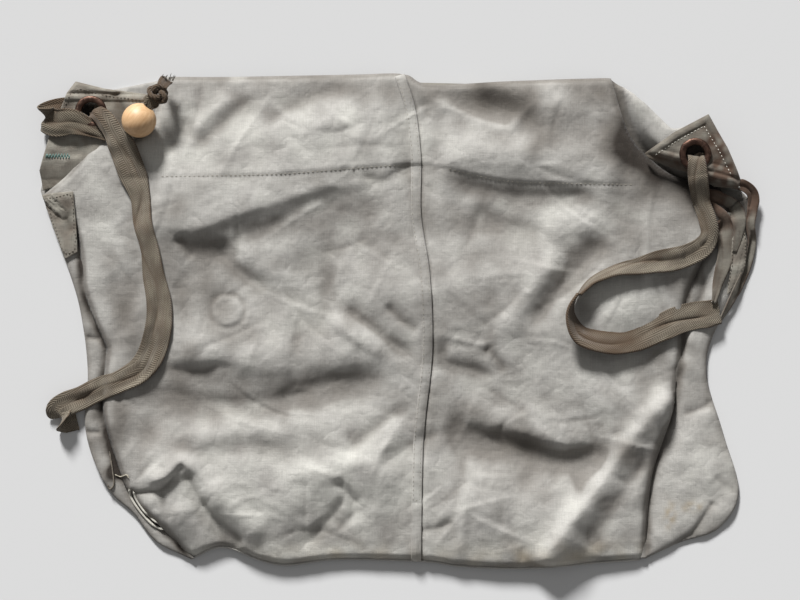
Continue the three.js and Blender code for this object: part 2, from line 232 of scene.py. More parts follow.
MOUTH_EDGE = smooth([(-212, 221), (-140, 221), (-40, 223), (4, 223.5), (28, 214), (100, 217), (192, 220)], 8)
RIGHT_MOUTH_SIDE = smooth([(192, 220), (203, 182), (212, 163), (225, 149), (250, 131), (290, 122)], 6)
LEFT_MOUTH_SIDE = smooth([
    (-212, 221), (-221, 188), (-226, 172), (-240, 163), (-268, 164), (-300, 132), (-322, 114),
], 6)
FACING_LINE = [
    (-214, 130), (-110, 132), (-20, 139), (20, 141), (45, 137), (70, 131), (110, 125), (212, 123),
]


def flat_pillow(x, y):
    """Height of the slack front over the floor: it rises from the side folds and the bottom as
    1 - exp(-distance/width), and thins towards the mouth, where front and back lie close."""
    sides = np.minimum(distance(x, y, LEFT_OUTER), distance(x, y, RIGHT_OUTER))
    low = distance(x, y, BOTTOM_EDGE)
    mouth = np.clip(223 - y, 0, None)
    body = 6 + 9 * (1 - np.exp(-sides / 22)) * (1 - 0.75 * np.exp(-low / 24))
    return body - 5 * np.exp(-mouth / 30)


def named_folds(x, y):
    """The large folds of the front, one term each, from the mouth down."""
    z = np.zeros(x.shape)
    # creases that fan down from the mouth, left of the seam
    z += fold(x, y, [(-128, 206), (-146, 190), (-172, 168), (-186, 148)], -3.0, 9, 13, 1.6)
    z += fold(x, y, [(-150, 206), (-168, 186), (-186, 168)], 2.0, 9, 8)
    z += fold(x, y, [(-38, 212), (-74, 204), (-106, 188), (-126, 172)], -2.2, 8, 14, 1.6)
    z += fold(x, y, [(-190, 186), (-200, 166), (-212, 148)], -2.4, 6, 8, 1.5)
    z += bump(x, y, (-60, 178), 3.0, 46, 22, 12)
    z += bump(x, y, (-176, 118), 2.5, 32, 26, 0)
    z += fold(x, y, [(-38, 131), (-14, 127), (4, 137), (18, 141)], -2.4, 6, 9, 1.5)
    # the shaded shelf that crosses the left half
    z += fold(x, y, [(-222, 92), (-188, 84), (-143, 99), (-104, 112), (-60, 124), (-18, 128)], 2.4, 26, 8)
    z += fold(x, y, [(-206, 70), (-168, 66), (-128, 80), (-86, 96)], -1.6, 8, 16)
    z += fold(x, y, [(-170, 76), (-153, 54), (-132, 36), (-114, 24)], -2.6, 9, 7, 1.5)
    z += fold(x, y, [(-201, 78), (-192, 66), (-184, 56)], -2.0, 6, 6, 1.5)
    z += fold(x, y, [(-150, 70), (-130, 52), (-98, 36), (-70, 34)], 1.8, 10, 10)
    z += bump(x, y, (-110, 66), 2.6, 40, 18, 18)
    # pulls towards the middle of the seam
    z += fold(x, y, [(-56, 18), (-40, 6), (-8, -18), (18, -36)], -3.2, 10, 7, 1.5)
    z += fold(x, y, [(-14, 16), (4, 0), (20, -12)], -2.2, 7, 6, 1.5)
    z += fold(x, y, [(-70, 4), (-40, -10), (-6, -34)], 2.0, 9, 9)
    # the long swag under the bulge of the left half
    z += fold(x, y, [(-226, -30), (-170, -32), (-110, -40), (-50, -30), (4, -34)], 3.6, 26, 14)
    z += fold(x, y, [(-236, -58), (-200, -70), (-153, -76), (-104, -70), (-52, -55), (8, -54)], -3.4, 10, 26)
    z += fold(x, y, [(-214, -42), (-180, -46), (-162, -40), (-140, -44)], -2.2, 7, 8, 1.5)
    z += fold(x, y, [(-206, -96), (-150, -98), (-90, -92), (-30, -86)], 3.0, 18, 22)
    z += fold(x, y, [(-216, -104), (-180, -118), (-140, -112), (-96, -118)], -2.6, 10, 14)
    z += fold(x, y, [(12, -74), (-16, -92), (-50, -122)], -2.6, 8, 10, 1.6)
    z += fold(x, y, [(44, -98), (10, -112), (-22, -136)], -2.2, 8, 9, 1.6)
    # the lower left corner, pinched up into one sharp horn
    z += fold(x, y, [(-246, -156), (-226, -154), (-211, -150), (-199, -134)], -3.4, 2.5, 6, 1.2)
    z += fold(x, y, [(-232, -144), (-210, -140), (-196, -126), (-180, -140)], 3.4, 8, 4)
    z += fold(x, y, [(-193, -134), (-178, -164), (-158, -186), (-140, -204)], -3.6, 4, 13, 1.5, 0.1)
    z += fold(x, y, [(-168, -140), (-160, -160), (-140, -180), (-120, -200)], 4.0, 12, 12)
    z += fold(x, y, [(-214, -152), (-210, -180), (-198, -206)], -1.8, 5, 4, 1.4, 0.1)
    z += bump(x, y, (-196, -178), 3.0, 14, 22, 20)
    z += bump(x, y, (-214, -122), 2.4, 22, 16, 0)
    # small star of creases near the bottom
    z += fold(x, y, [(-58, -140), (-48, -152), (-34, -168)], -2.6, 5, 6, 1.4)
    z += fold(x, y, [(-46, -154), (-60, -176), (-88, -206)], -2.2, 6, 7, 1.4)
    z += fold(x, y, [(-34, -166), (-44, -178), (-56, -190)], -1.8, 5, 6, 1.4)
    z += bump(x, y, (-100, -160), 2.6, 34, 22, 20)
    z += fold(x, y, [(-110, -132), (-70, -136), (-40, -128), (-8, -140)], 2.0, 12, 12)
    # the dent under the mouth, right of the seam
    z += fold(x, y, [(14, 208), (46, 192), (78, 178), (98, 174), (112, 188), (128, 204)], 2.6, 7, 7, 1.6)
    z += bump(x, y, (74, 196), -3.0, 34, 12, -14)
    z += bump(x, y, (140, 196), 2.4, 40, 16, -4)
    z += bump(x, y, (96, 152), 2.8, 52, 16, -4)
    z += fold(x, y, [(40, 128), (84, 116), (130, 112), (186, 116)], -2.8, 8, 14, 1.7)
    z += fold(x, y, [(60, 100), (100, 84), (140, 78)], -2.2, 10, 14)
    z += bump(x, y, (160, 86), 2.6, 34, 16, 10)
    # the diagonal trough beside the loop
    z += fold(x, y, [(196, 74), (176, 62), (150, 36), (130, 12), (112, -10)], -4.6, 10, 15, 1.8)
    z += fold(x, y, [(150, 66), (122, 30), (100, 0), (84, -22)], 3.0, 16, 10)
    z += bump(x, y, (206, 12), 3.4, 34, 22, 10)
    z += fold(x, y, [(44, -14), (40, -36), (66, -44), (92, -52)], -2.6, 7, 9, 1.6)
    z += fold(x, y, [(78, -20), (88, -34), (97, -48)], -2.2, 5, 7, 1.4)
    # sweep of the right half towards the bottom
    z += fold(x, y, [(44, -72), (78, -91), (113, -99), (152, -110), (200, -104)], 5.2, 20, 11)
    z += fold(x, y, [(56, -100), (92, -112), (140, -124), (188, -122)], -3.4, 12, 18)
    z += bump(x, y, (184, -70), 3.0, 34, 20, -10)
    z += fold(x, y, [(255, -66), (238, -76), (206, -114), (172, -162), (142, -200), (124, -226)],
              8.0, 24, 11, 1.8, 0.08)
    z += fold(x, y, [(250, -90), (222, -124), (196, -160), (168, -206)], -3.4, 10, 18, 2, 0.1)
    z += fold(x, y, [(118, -130), (106, -160), (96, -196)], -2.2, 14, 14)
    z += bump(x, y, (86, -160), 2.2, 22, 34, 0)
    z += ledge(x, y, [(42, -100), (50, -120), (57, -142), (61, -170), (61, -222)], -1.5, 18, 3.0)
    z += fold(x, y, [(18, -189), (34, -187), (52, -180)], -1.6, 4, 5, 1.4)
    return z


def swells(x, y):
    """The broad hills and hollows that give the front its large light and dark areas."""
    shelf = [(-236, 92), (-188, 84), (-143, 97), (-88, 112), (-50, 122), (12, 134)]
    z = fold(x, y, shelf, 7, 72, 32, 1.5, 0.08)
    z += fold(x, y, [(-250, 6), (-200, -14), (-150, -24), (-90, -26)], 4.5, 46, 30, 1.7, 0.1)
    z += fold(x, y, [(-236, -128), (-190, -138), (-120, -142), (-60, -138), (6, -146)], 8, 52, 42, 1.7, 0.1)
    z += fold(x, y, [(-70, 32), (-20, 30), (40, 28), (100, 38), (160, 50)], 8, 38, 66, 1.6, 0.12)
    z += fold(x, y, [(36, -98), (90, -114), (140, -124), (196, -116)], -8, 44, 20, 1.6, 0.12)
    z += fold(x, y, [(50, -168), (110, -176), (168, -166)], 6, 40, 36, 1.7, 0.1)
    z += fold(x, y, [(30, 150), (90, 142), (160, 138), (206, 132)], 6, 30, 34, 1.7, 0.1)
    z += bump(x, y, (82, 190), -7, 44, 17, -12)
    z += bump(x, y, (-120, 160), 3, 60, 40, 0)
    z += bump(x, y, (238, -20), -4, 30, 70, 0)
    z += bump(x, y, (206, 96), -4, 34, 26, -20)
    return z


def pinches(x, y, seed, count):
    """Short straight pinches scattered over the cloth: each is depth times exp(-distance/width) with
    a soft shoulder beside it, bent a little and fading along its length."""
    rng = np.random.default_rng(seed)
    z = np.zeros(x.shape)
    for _ in range(count):
        cx, cy = rng.uniform(-270, 280), rng.uniform(-205, 205)
        angle = rng.normal(0.9, 0.8) * rng.choice((-1, 1))
        reach, width = rng.uniform(9, 38), rng.uniform(1.1, 3.0)
        depth, bend = rng.uniform(0.3, 1.1) * rng.choice((-1, 1)), rng.normal(0, 0.004)
        along = (x - cx) * np.cos(angle) + (y - cy) * np.sin(angle)
        off = (y - cy) * np.cos(angle) - (x - cx) * np.sin(angle) - bend * along**2
        shape = np.exp(-np.abs(off) / width) - 0.6 * np.exp(-(((off - 3 * width) / (2.4 * width)) ** 2))
        z += depth * shape * np.exp(-((along / reach) ** 2))
    return z


def cloth_noise(x, y, seed=3):
    """Crumples of three sizes, from hand-wide sags to finger-wide puckers."""
    z = 1.1 * ripples(x, y, seed, 120, 18)
    z += 0.42 * ripples(x, y, seed + 10, 46)
    z += 0.12 * crumple(x, y, seed + 20, 40)
    z += 0.09 * ripples(x, y, seed + 25, 15)
    z += pinches(x, y, seed + 40, 170)
    z += 0.05 * ripples(x, y, seed + 30, 8)
    return z


def soft_floor(z, low=5.0, blend=4.0):
    """Keeps the front above the back: low + blend * log(1 + exp((z - low) / blend))."""
    return low + blend * np.logaddexp(0, (z - low) / blend)


def front_height(x, y):
    """The lie of the whole front: slack pillow, named folds, crumples, the double cloth of the mouth
    facing, the mark of a round thing under the cloth, and the drop under the right flap."""
    z = flat_pillow(x, y) + 1.5 * named_folds(x, y) + swells(x, y) + cloth_noise(x, y)
    z = soft_floor(z)
    z += ledge(x, y, FACING_LINE, 1.3, 60, 1.3)
    z += fold(x, y, FACING_LINE, -0.35, 1.8, 1.8, 2, 0.02)
    ring = np.hypot(x + 154, y - 9)
    z += 1.5 / (1 + np.exp((ring - 13) / 0.9)) - 0.9 * np.exp(-((ring - 15.5) / 2.4) ** 2)
    z -= bump(x, y, (284, 138), 9.0, 60, 34, -20)
    z -= bump(x, y, (-252, 168), 2.0, 30, 16, 0)
    return z


# ---- meshes ----
def mesh_object(name, vertices, faces, uv=None, attributes=None, smooth_faces=True):
    """A mesh piece from arrays in millimetres; uv is per vertex, in metres."""
    mesh = bpy.data.meshes.new(name)
    vertices = np.asarray(vertices, float) * MM
    faces = np.asarray(faces, int)
    sides = faces.shape[1]
    mesh.vertices.add(len(vertices))
    mesh.vertices.foreach_set("co", vertices.ravel())
    mesh.loops.add(faces.size)
    mesh.loops.foreach_set("vertex_index", faces.ravel())
    mesh.polygons.add(len(faces))
    mesh.polygons.foreach_set("loop_start", np.arange(0, faces.size, sides))
    mesh.polygons.foreach_set("use_smooth", np.full(len(faces), smooth_faces))
    mesh.update(calc_edges=True)
    if uv is not None:
        layer = mesh.uv_layers.new(name="UVMap")
        layer.data.foreach_set("uv", np.asarray(uv, float)[faces.ravel()].ravel())
    for key, values in (attributes or {}).items():
        item = mesh.attributes.new(key, "FLOAT", "POINT")
        item.data.foreach_set("value", np.asarray(values, float))
    mesh.validate()
    piece = bpy.data.objects.new(name, mesh)
    bpy.context.scene.collection.objects.link(piece)
    return piece


def thicken(piece, thickness, side=-1.0):
    """Gives an open sheet its wall, in millimetres."""
    wall = piece.modifiers.new("wall", "SOLIDIFY")
    wall.thickness = thickness * MM
    wall.offset = side
    wall.use_even_offset = False
    return piece


def blur(field, cells):
    """Mean of a square of cells, run along the rows and then the columns, three times over."""
    for _ in range(3):
        for axis in (0, 1):
            padded = np.concatenate([
                np.repeat(np.take(field, [0], axis), cells + 1, axis), field,
                np.repeat(np.take(field, [-1], axis), cells, axis),
            ], axis)
            sums = np.cumsum(padded, axis)
            span = 2 * cells + 1
            high = np.take(sums, np.arange(span, sums.shape[axis]), axis)
            low = np.take(sums, np.arange(0, sums.shape[axis] - span), axis)
            field = (high - low) / span
    return field


def cloth(name, outline, height, holes=(), spacing=1.8, stains=None, tone=None):
    """A sheet cut to an outline on a square grid: cells whose middle is inside are kept, the border
    is drawn onto the outline, and z is the height function. relief is how far a place lies above the
    blurred sheet, painted as shade in hollows and as wear on ridges; the light, the dark and the
    darkest share of the tone are painted light with fading, painted shade with grime, and painted shadow."""
    outline = np.asarray(outline, float)
    low, high = outline.min(0) - 2 * spacing, outline.max(0) + 2 * spacing
    xs = np.arange(low[0], high[0], spacing)
    ys = np.arange(low[1], high[1], spacing)
    x, y = np.meshgrid(xs, ys)
    z = height(x, y)
    rows, columns = x.shape
    mx, my = x[:-1, :-1] + spacing / 2, y[:-1, :-1] + spacing / 2
    keep = inside(mx, my, outline)
    for hole in holes:
        keep &= ~inside(mx, my, hole)
    index = np.arange(rows * columns).reshape(rows, columns)
    quads = np.stack([index[:-1, :-1], index[:-1, 1:], index[1:, 1:], index[1:, :-1]], -1)[keep]
    touched = np.zeros(rows * columns, int)
    np.add.at(touched, quads.ravel(), 1)
    border = (touched > 0) & (touched < 4)
    fx, fy = x.ravel().copy(), y.ravel().copy()
    best = np.full(border.sum(), np.inf)
    place = np.stack([fx[border], fy[border]], -1)
    for ring in (outline, *holes):
        loop = np.vstack([ring, ring[:1]])
        gap, _, _, spot = nearest(fx[border], fy[border], loop)
        closer = gap < best
        best = np.where(closer, gap, best)
        place = np.where(closer[:, None], spot, place)
    fx[border], fy[border] = place[:, 0], place[:, 1]
    fz = z.ravel().copy()
    fz[border] = height(fx[border], fy[border])
    # relief at two scales: the material paints shade in its hollows and wear on its ridges
    relief = z - blur(z, max(2, int(9 / spacing)))
    broad = z - blur(z, max(4, int(34 / spacing)))
    shade = (relief * 0.5 + broad * 0.16).ravel()
    used = touched > 0
    remap = np.cumsum(used) - 1
    points = np.stack([fx, fy, fz], -1)[used]
    soil_and_shade = np.zeros(len(points)) if stains is None else stains(points[:, 0], points[:, 1])
    # the tone: painted light with fading above 0, painted shade with grime below 0, painted shadow below -1
    fade = np.zeros(len(points)) if tone is None else tone(points[:, 0], points[:, 1])
    return mesh_object(
        name, points, remap[quads], uv=points[:, :2] * MM,
        attributes={
            "relief": np.clip(shade[used], -1.5, 1.5), "soil_and_shade": soil_and_shade,
            "fade": np.clip(fade, 0, 1), "shade_and_grime": np.clip(-fade, 0, 1), "painted_shadow": np.clip(-fade - 1.0, 0, 1),
        },
    )


# ---- materials ----
class Nodes:
    """Small helper that adds and joins shader nodes of one material."""

    def __init__(self, name):
        self.material = bpy.data.materials.new(name)
        self.material.use_nodes = True
        self.tree = self.material.node_tree
        self.shader = self.tree.nodes["Principled BSDF"]

    def add(self, kind, **values):
        node = self.tree.nodes.new(kind)
        for key, value in values.items():
            setattr(node, key, value)
        return node

    def link(self, source, target):
        self.tree.links.new(source, target)

    def math(self, operation, a, b=0.0, clamp=False):
        node = self.add("ShaderNodeMath", operation=operation, use_clamp=clamp)
        for socket, item in zip(node.inputs, (a, b)):
            if isinstance(item, (int, float)):
                socket.default_value = item
            else:
                self.link(item, socket)
        return node.outputs[0]

    def mix(self, factor, a, b, blend="MIX"):
        node = self.add("ShaderNodeMix", data_type="RGBA", blend_type=blend)
        node.clamp_factor = True
        for socket, item in ((node.inputs[0], factor), (node.inputs[6], a), (node.inputs[7], b)):
            if isinstance(item, (int, float)):
                socket.default_value = item
            elif isinstance(item, tuple):
                socket.default_value = (*item, 1.0)
            else:
                self.link(item, socket)
        return node.outputs[2]

    def noise(self, vector, scale, detail=4.0, rough=0.55, stretch=None):
        if stretch is not None:
            mapping = self.add("ShaderNodeMapping")
            mapping.inputs["Scale"].default_value = stretch
            self.link(vector, mapping.inputs["Vector"])
            vector = mapping.outputs[0]
        node = self.add("ShaderNodeTexNoise")
        node.inputs["Scale"].default_value = scale
        node.inputs["Detail"].default_value = detail
        node.inputs["Roughness"].default_value = rough
        self.link(vector, node.inputs["Vector"])
        return node.outputs[0]

    def ramp(self, source, low, high):
        """0 below low, 1 above high, straight between."""
        node = self.add("ShaderNodeMapRange")
        node.inputs["From Min"].default_value = low
        node.inputs["From Max"].default_value = high
        self.link(source, node.inputs["Value"])
        return node.outputs[0]

    def times(self, a, b):
        """a times b."""
        return self.math("MULTIPLY", a, b)

    def plus(self, a, b):
        """a plus b."""
        return self.math("ADD", a, b)

    def set(self, name, value):
        """Gives an input of the shader a fixed value."""
        self.shader.inputs[name].default_value = value

    def feed(self, name, source):
        """Joins a socket to an input of the shader."""
        self.link(source, self.shader.inputs[name])

    def plane(self):
        """The UV socket and its two axes."""
        uv = self.add("ShaderNodeUVMap", uv_map="UVMap").outputs[0]
        split = self.add("ShaderNodeSeparateXYZ")
        self.link(uv, split.inputs[0])
        return uv, split.outputs[0], split.outputs[1]

    def attribute(self, name):
        """A value that the mesh carries at each of its points."""
        node = self.add("ShaderNodeAttribute", attribute_name=name)
        return node.outputs["Fac"]

    def bump(self, height, strength, distance):
        """Turns a height socket into the shader's normal."""
        node = self.add("ShaderNodeBump")
        node.inputs["Strength"].default_value = strength
        node.inputs["Distance"].default_value = distance
        self.link(height, node.inputs["Height"])
        self.link(node.outputs[0], self.shader.inputs["Normal"])


def weave_height(n, x, y, pitch):
    """Plain weave: the mean of the warp threads, sin^2(pi x/pitch), and the weft threads,
    sin^2(pi y/pitch)."""
    k = np.pi / pitch
    sx = n.math("SINE", n.times(x, k))
    sy = n.math("SINE", n.times(y, k))
    warp = n.times(sx, sx)
    weft = n.times(sy, sy)
    return n.plus(n.times(warp, 0.5), n.times(weft, 0.5))


def canvas_material(name, light, mid, dark, grime, lit_and_faded=(0.62, 0.61, 0.56)):
    """Faded cotton canvas: cloudy fading, thread streaks both ways, painted shade with grime in the hollows,
    wear on the ridges, painted light, shade and shadow from the tone the mesh carries, and a plain
    weave with fine creases in the bump."""
    n = Nodes(name)
    uv, x, y = n.plane()
    clouds = n.ramp(n.noise(uv, 7.0, 5.0, 0.6), 0.36, 0.66)
    patches = n.ramp(n.noise(uv, 26.0, 5.0, 0.62), 0.35, 0.7)
    warp_streaks = n.noise(uv, 1.0, 3.0, 0.6, (1300.0, 70.0, 1.0))
    weft_streaks = n.noise(uv, 1.0, 3.0, 0.6, (70.0, 1300.0, 1.0))
    streaks = n.times(n.plus(warp_streaks, weft_streaks), 0.5)
    specks = n.ramp(n.noise(uv, 620.0, 2.0, 0.7), 0.62, 0.8)
    relief = n.attribute("relief")
    # painted shade with grime in the hollows of the sheet
    hollow_shade_and_grime = n.ramp(relief, 0.1, -1.1)
    worn = n.ramp(relief, 0.15, 1.2)
    colour = n.mix(clouds, mid, light)
    colour = n.mix(n.times(patches, 0.35), colour, dark)
    colour = n.mix(n.times(hollow_shade_and_grime, 0.62), colour, dark)
    colour = n.mix(n.times(worn, 0.45), colour, light)
    # painted light with fading, painted shade with grime, and painted shadow in near-black brown
    colour = n.mix(n.times(n.attribute("fade"), 0.8), colour, lit_and_faded)
    colour = n.mix(n.times(n.attribute("shade_and_grime"), 0.8), colour, dark)
    colour = n.mix(n.times(n.attribute("painted_shadow"), 0.95), colour, (0.016, 0.010, 0.006))
    colour = n.mix(n.attribute("soil_and_shade"), colour, grime)
    thread_tone = n.ramp(streaks, 0.36, 0.64)
    grey = n.add("ShaderNodeCombineColor")
    tone = n.plus(n.times(thread_tone, 0.22), 0.88)
    for socket in grey.inputs[:3]:
        n.link(tone, socket)
    colour = n.mix(1.0, colour, grey.outputs[0], "MULTIPLY")
    colour = n.mix(n.times(specks, 0.35), colour, dark)
    fine = n.ramp(n.noise(uv, 1150.0, 3.0, 0.75), 0.3, 0.7)
    colour = n.mix(n.times(fine, 0.16), colour, dark)
    n.feed("Base Color", colour)
    n.feed("Roughness", n.plus(n.times(clouds, 0.08), 0.84))
    n.set("Sheen Weight", 0.12)
    n.set("Sheen Roughness", 0.5)
    n.set("Specular IOR Level", 0.25)
    jitter = n.times(n.noise(uv, 160.0, 3.0, 0.6), 0.0012)
    weave = weave_height(n, n.plus(x, jitter), n.plus(y, jitter), 0.0007)
    grain = n.noise(uv, 1500.0, 3.0, 0.7)
    height = n.plus(n.times(weave, 0.6), n.times(streaks, 1.0))
    height = n.plus(height, n.times(grain, 0.9))
    for scale, depth in ((34.0, 9.0), (90.0, 3.0)):
        wander = n.math("ABSOLUTE", n.math("SUBTRACT", n.noise(uv, scale, 2.0, 0.5), 0.5))
        height = n.plus(height, n.times(wander, depth))
    n.bump(height, 0.8, 0.0005)
    return n.material


def herringbone_material(name, light, mid, dark):
    """Herringbone tape on its own UV, u along and v across in metres: diagonal ribs whose slope
    turns over at each column, with soiled edges and the painted shade that the mesh carries."""
    n = Nodes(name)
    uv, u, v = n.plane()
    column = n.math("PINGPONG", v, 0.0042)
    rib = n.math("SINE", n.times(n.plus(u, column), 2 * np.pi / 0.0020))
    rib01 = n.plus(n.times(rib, 0.5), 0.5)
    yarn = n.math("SINE", n.times(v, 2 * np.pi / 0.0009))
    clouds = n.ramp(n.noise(uv, 45.0, 5.0, 0.6), 0.32, 0.7)
    streaks = n.noise(uv, 1.0, 3.0, 0.6, (60.0, 1400.0, 1.0))
    colour = n.mix(clouds, mid, light)
    colour = n.mix(n.times(n.ramp(streaks, 0.4, 0.7), 0.45), colour, dark)
    colour = n.mix(n.times(n.math("SUBTRACT", 1.0, rib01), 0.6), colour, dark)
    # brown stains and painted shade that the mesh carries
    colour = n.mix(n.attribute("soil_and_shade"), colour, (0.085, 0.055, 0.033))
    n.feed("Base Color", colour)
    n.set("Roughness", 0.86)
    n.set("Sheen Weight", 0.15)
    n.set("Specular IOR Level", 0.25)
    height = n.plus(rib01, n.times(yarn, 0.12))
    n.bump(height, 0.9, 0.0006)
    return n.material


def thread_material(name, light, dark):
    """Twisted cotton thread."""
    n = Nodes(name)
    coords = n.add("ShaderNodeTexCoord").outputs["Object"]
    fibre = n.noise(coords, 900.0, 3.0, 0.6)
    cloud = n.noise(coords, 30.0, 3.0, 0.6)
    colour = n.mix(n.ramp(fibre, 0.3, 0.7), dark, light)
    colour = n.mix(n.times(n.ramp(cloud, 0.45, 0.65), 0.5), colour, dark)
    n.feed("Base Color", colour)
    n.set("Roughness", 0.8)
    n.bump(fibre, 0.4, 0.0003)
    return n.material


def eyelet_material():
    """Oxidised eyelet: reddish brown patina, dark pits, and bare metal where it is rubbed."""
    n = Nodes("oxidised_eyelet")
    coords = n.add("ShaderNodeTexCoord").outputs["Object"]
    patina = n.ramp(n.noise(coords, 240.0, 6.0, 0.65), 0.32, 0.68)
    pits = n.ramp(n.noise(coords, 900.0, 4.0, 0.7), 0.55, 0.75)
    rubbed = n.ramp(n.noise(coords, 160.0, 5.0, 0.6, (1.0, 1.0, 2.0)), 0.6, 0.72)
    colour = n.mix(patina, (0.05, 0.029, 0.023), (0.12, 0.069, 0.05))
    colour = n.mix(n.times(rubbed, 0.55), colour, (0.42, 0.30, 0.22))
    colour = n.mix(n.times(pits, 0.7), colour, (0.02, 0.013, 0.01))
    n.feed("Base Color", colour)
    n.feed("Metallic", n.math("SUBTRACT", 0.95, n.times(rubbed, 0.5)))
    n.feed("Roughness", n.plus(n.times(patina, 0.25), 0.32))
    n.bump(n.plus(patina, pits), 0.35, 0.0004)
    return n.material


def bead_material():
    """Pale turned wood: growth lines carried along the bore, fine pores, and handling dirt."""
    n = Nodes("pale_wood")
    coords = n.add("ShaderNodeTexCoord").outputs["Object"]
    turned = n.add("ShaderNodeMapping")
    turned.inputs["Rotation"].default_value = (0.0, 0.0, -float(BEAD_HEADING))
    n.link(coords, turned.inputs["Vector"])
    grain = n.noise(turned.outputs[0], 1.0, 4.0, 0.6, (35.0, 420.0, 420.0))
    pores = n.ramp(n.noise(turned.outputs[0], 1.0, 2.0, 0.6, (260.0, 2200.0, 2200.0)), 0.6, 0.78)
    cloud = n.ramp(n.noise(coords, 70.0, 3.0, 0.5), 0.4, 0.7)
    colour = n.mix(n.ramp(grain, 0.3, 0.7), (0.50, 0.30, 0.15), (0.66, 0.44, 0.245))
    colour = n.mix(n.times(cloud, 0.3), colour, (0.44, 0.25, 0.12))
    colour = n.mix(n.times(pores, 0.35), colour, (0.45, 0.24, 0.10))
    n.feed("Base Color", colour)
    n.feed("Roughness", n.plus(n.times(grain, 0.2), 0.38))
    n.bump(n.plus(grain, pores), 0.12, 0.0003)
    return n.material


CANVAS_FINISH = canvas_material(
    "faded_canvas", (0.51, 0.497, 0.466), (0.375, 0.358, 0.332), (0.145, 0.13, 0.112), (0.36, 0.27, 0.15))
INNER_CANVAS = canvas_material(
    "inner_canvas", (0.34, 0.32, 0.27), (0.26, 0.24, 0.20), (0.13, 0.12, 0.10), (0.2, 0.15, 0.1))
HEM_CANVAS = canvas_material(
    "hem_canvas", (0.29, 0.275, 0.235), (0.19, 0.175, 0.145), (0.07, 0.058, 0.043), (0.07, 0.035, 0.02))
FLAP_CANVAS = canvas_material(
    "flap_canvas", (0.38, 0.36, 0.31), (0.26, 0.245, 0.205), (0.10, 0.085, 0.065), (0.085, 0.045, 0.028))
KNOT_FINISH = herringbone_material(
    "dark_tape", (0.10, 0.088, 0.066), (0.05, 0.042, 0.03), (0.014, 0.011, 0.008))
TAPE_FINISH = herringbone_material(
    "herringbone_tape", (0.33, 0.29, 0.225), (0.20, 0.168, 0.125), (0.04, 0.028, 0.018))
OLIVE_FINISH = herringbone_material(
    "olive_tape", (0.24, 0.21, 0.155), (0.145, 0.12, 0.085), (0.03, 0.022, 0.015))
THREAD_FINISH = thread_material("cotton_thread", (0.62, 0.58, 0.47), (0.30, 0.27, 0.21))
DARK_THREAD = thread_material("soiled_thread", (0.22, 0.19, 0.15), (0.06, 0.05, 0.04))
GREEN_THREAD = thread_material("green_thread", (0.16, 0.27, 0.24), (0.05, 0.09, 0.08))
SELVEDGE_THREAD = thread_material("pale_selvedge", (0.60, 0.58, 0.52), (0.38, 0.36, 0.31))
CANVAS_THREAD = thread_material("faded_thread", (0.40, 0.38, 0.32), (0.22, 0.20, 0.17))
METAL_FINISH = eyelet_material()
WOOD_FINISH = bead_material()


def place(piece, material, slot, *nodes, body="sack"):
    """Gives a piece its material and body, and hides the nodes that it stands for; the slot is not used."""
    piece.data.materials.clear()
    piece.data.materials.append(material)
    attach(piece, body)
    if nodes:
        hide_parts(*nodes)
    return piece


def cloth_area(outline, holes=()):
    """Area of a closed outline less its holes in square metres, by the shoelace sum."""
    def shoelace(ring):
        ring = np.asarray(ring)
        nxt = np.roll(ring, -1, 0)
        return abs((ring[:, 0] * nxt[:, 1] - nxt[:, 0] * ring[:, 1]).sum()) / 2
    return float((shoelace(outline) - sum(shoelace(hole) for hole in holes)) * MM * MM)


def declare_cloth(outline, holes=(), flat=None):
    """Works out the box of a cut sheet's outline and its true area, and does nothing with them."""
    size = flat or (np.ptp(np.asarray(outline), axis=0) * MM).tolist()
    area = cloth_area(outline, holes)


def circle(centre, radius, steps=48):
    """A ring of points."""
    angle = np.linspace(0, 2 * np.pi, steps, endpoint=False)
    return np.stack([centre[0] + radius * np.cos(angle), centre[1] + radius * np.sin(angle)], -1)


# ---- the canvas body ----
def between(line, x0, x1):
    """The part of a left-to-right line between two values of x."""
    return line[(line[:, 0] >= x0) & (line[:, 0] <= x1)]


def front_soil(x, y):
    """Warm stains along the bottom edge."""
    stain = bump(x, y, (150, -212), 0.35, 90, 12) + bump(x, y, (-60, -212), 0.25, 90, 10)
    return np.clip(stain * (0.6 + 0.4 * ripples(x, y, 71, 22)), 0, 0.5)


# line of the painted shadow under the right flap
RIGHT_FLAP_SHADOW_LINE = smooth([(210, 160), (226, 144), (248, 129), (270, 118), (300, 104)], 6)


def near_line(x, y, line, reach):
    """1 on a line, fading as exp(-(distance/reach)^2) on both sides."""
    return np.exp(-((distance(x, y, line) / reach) ** 2))


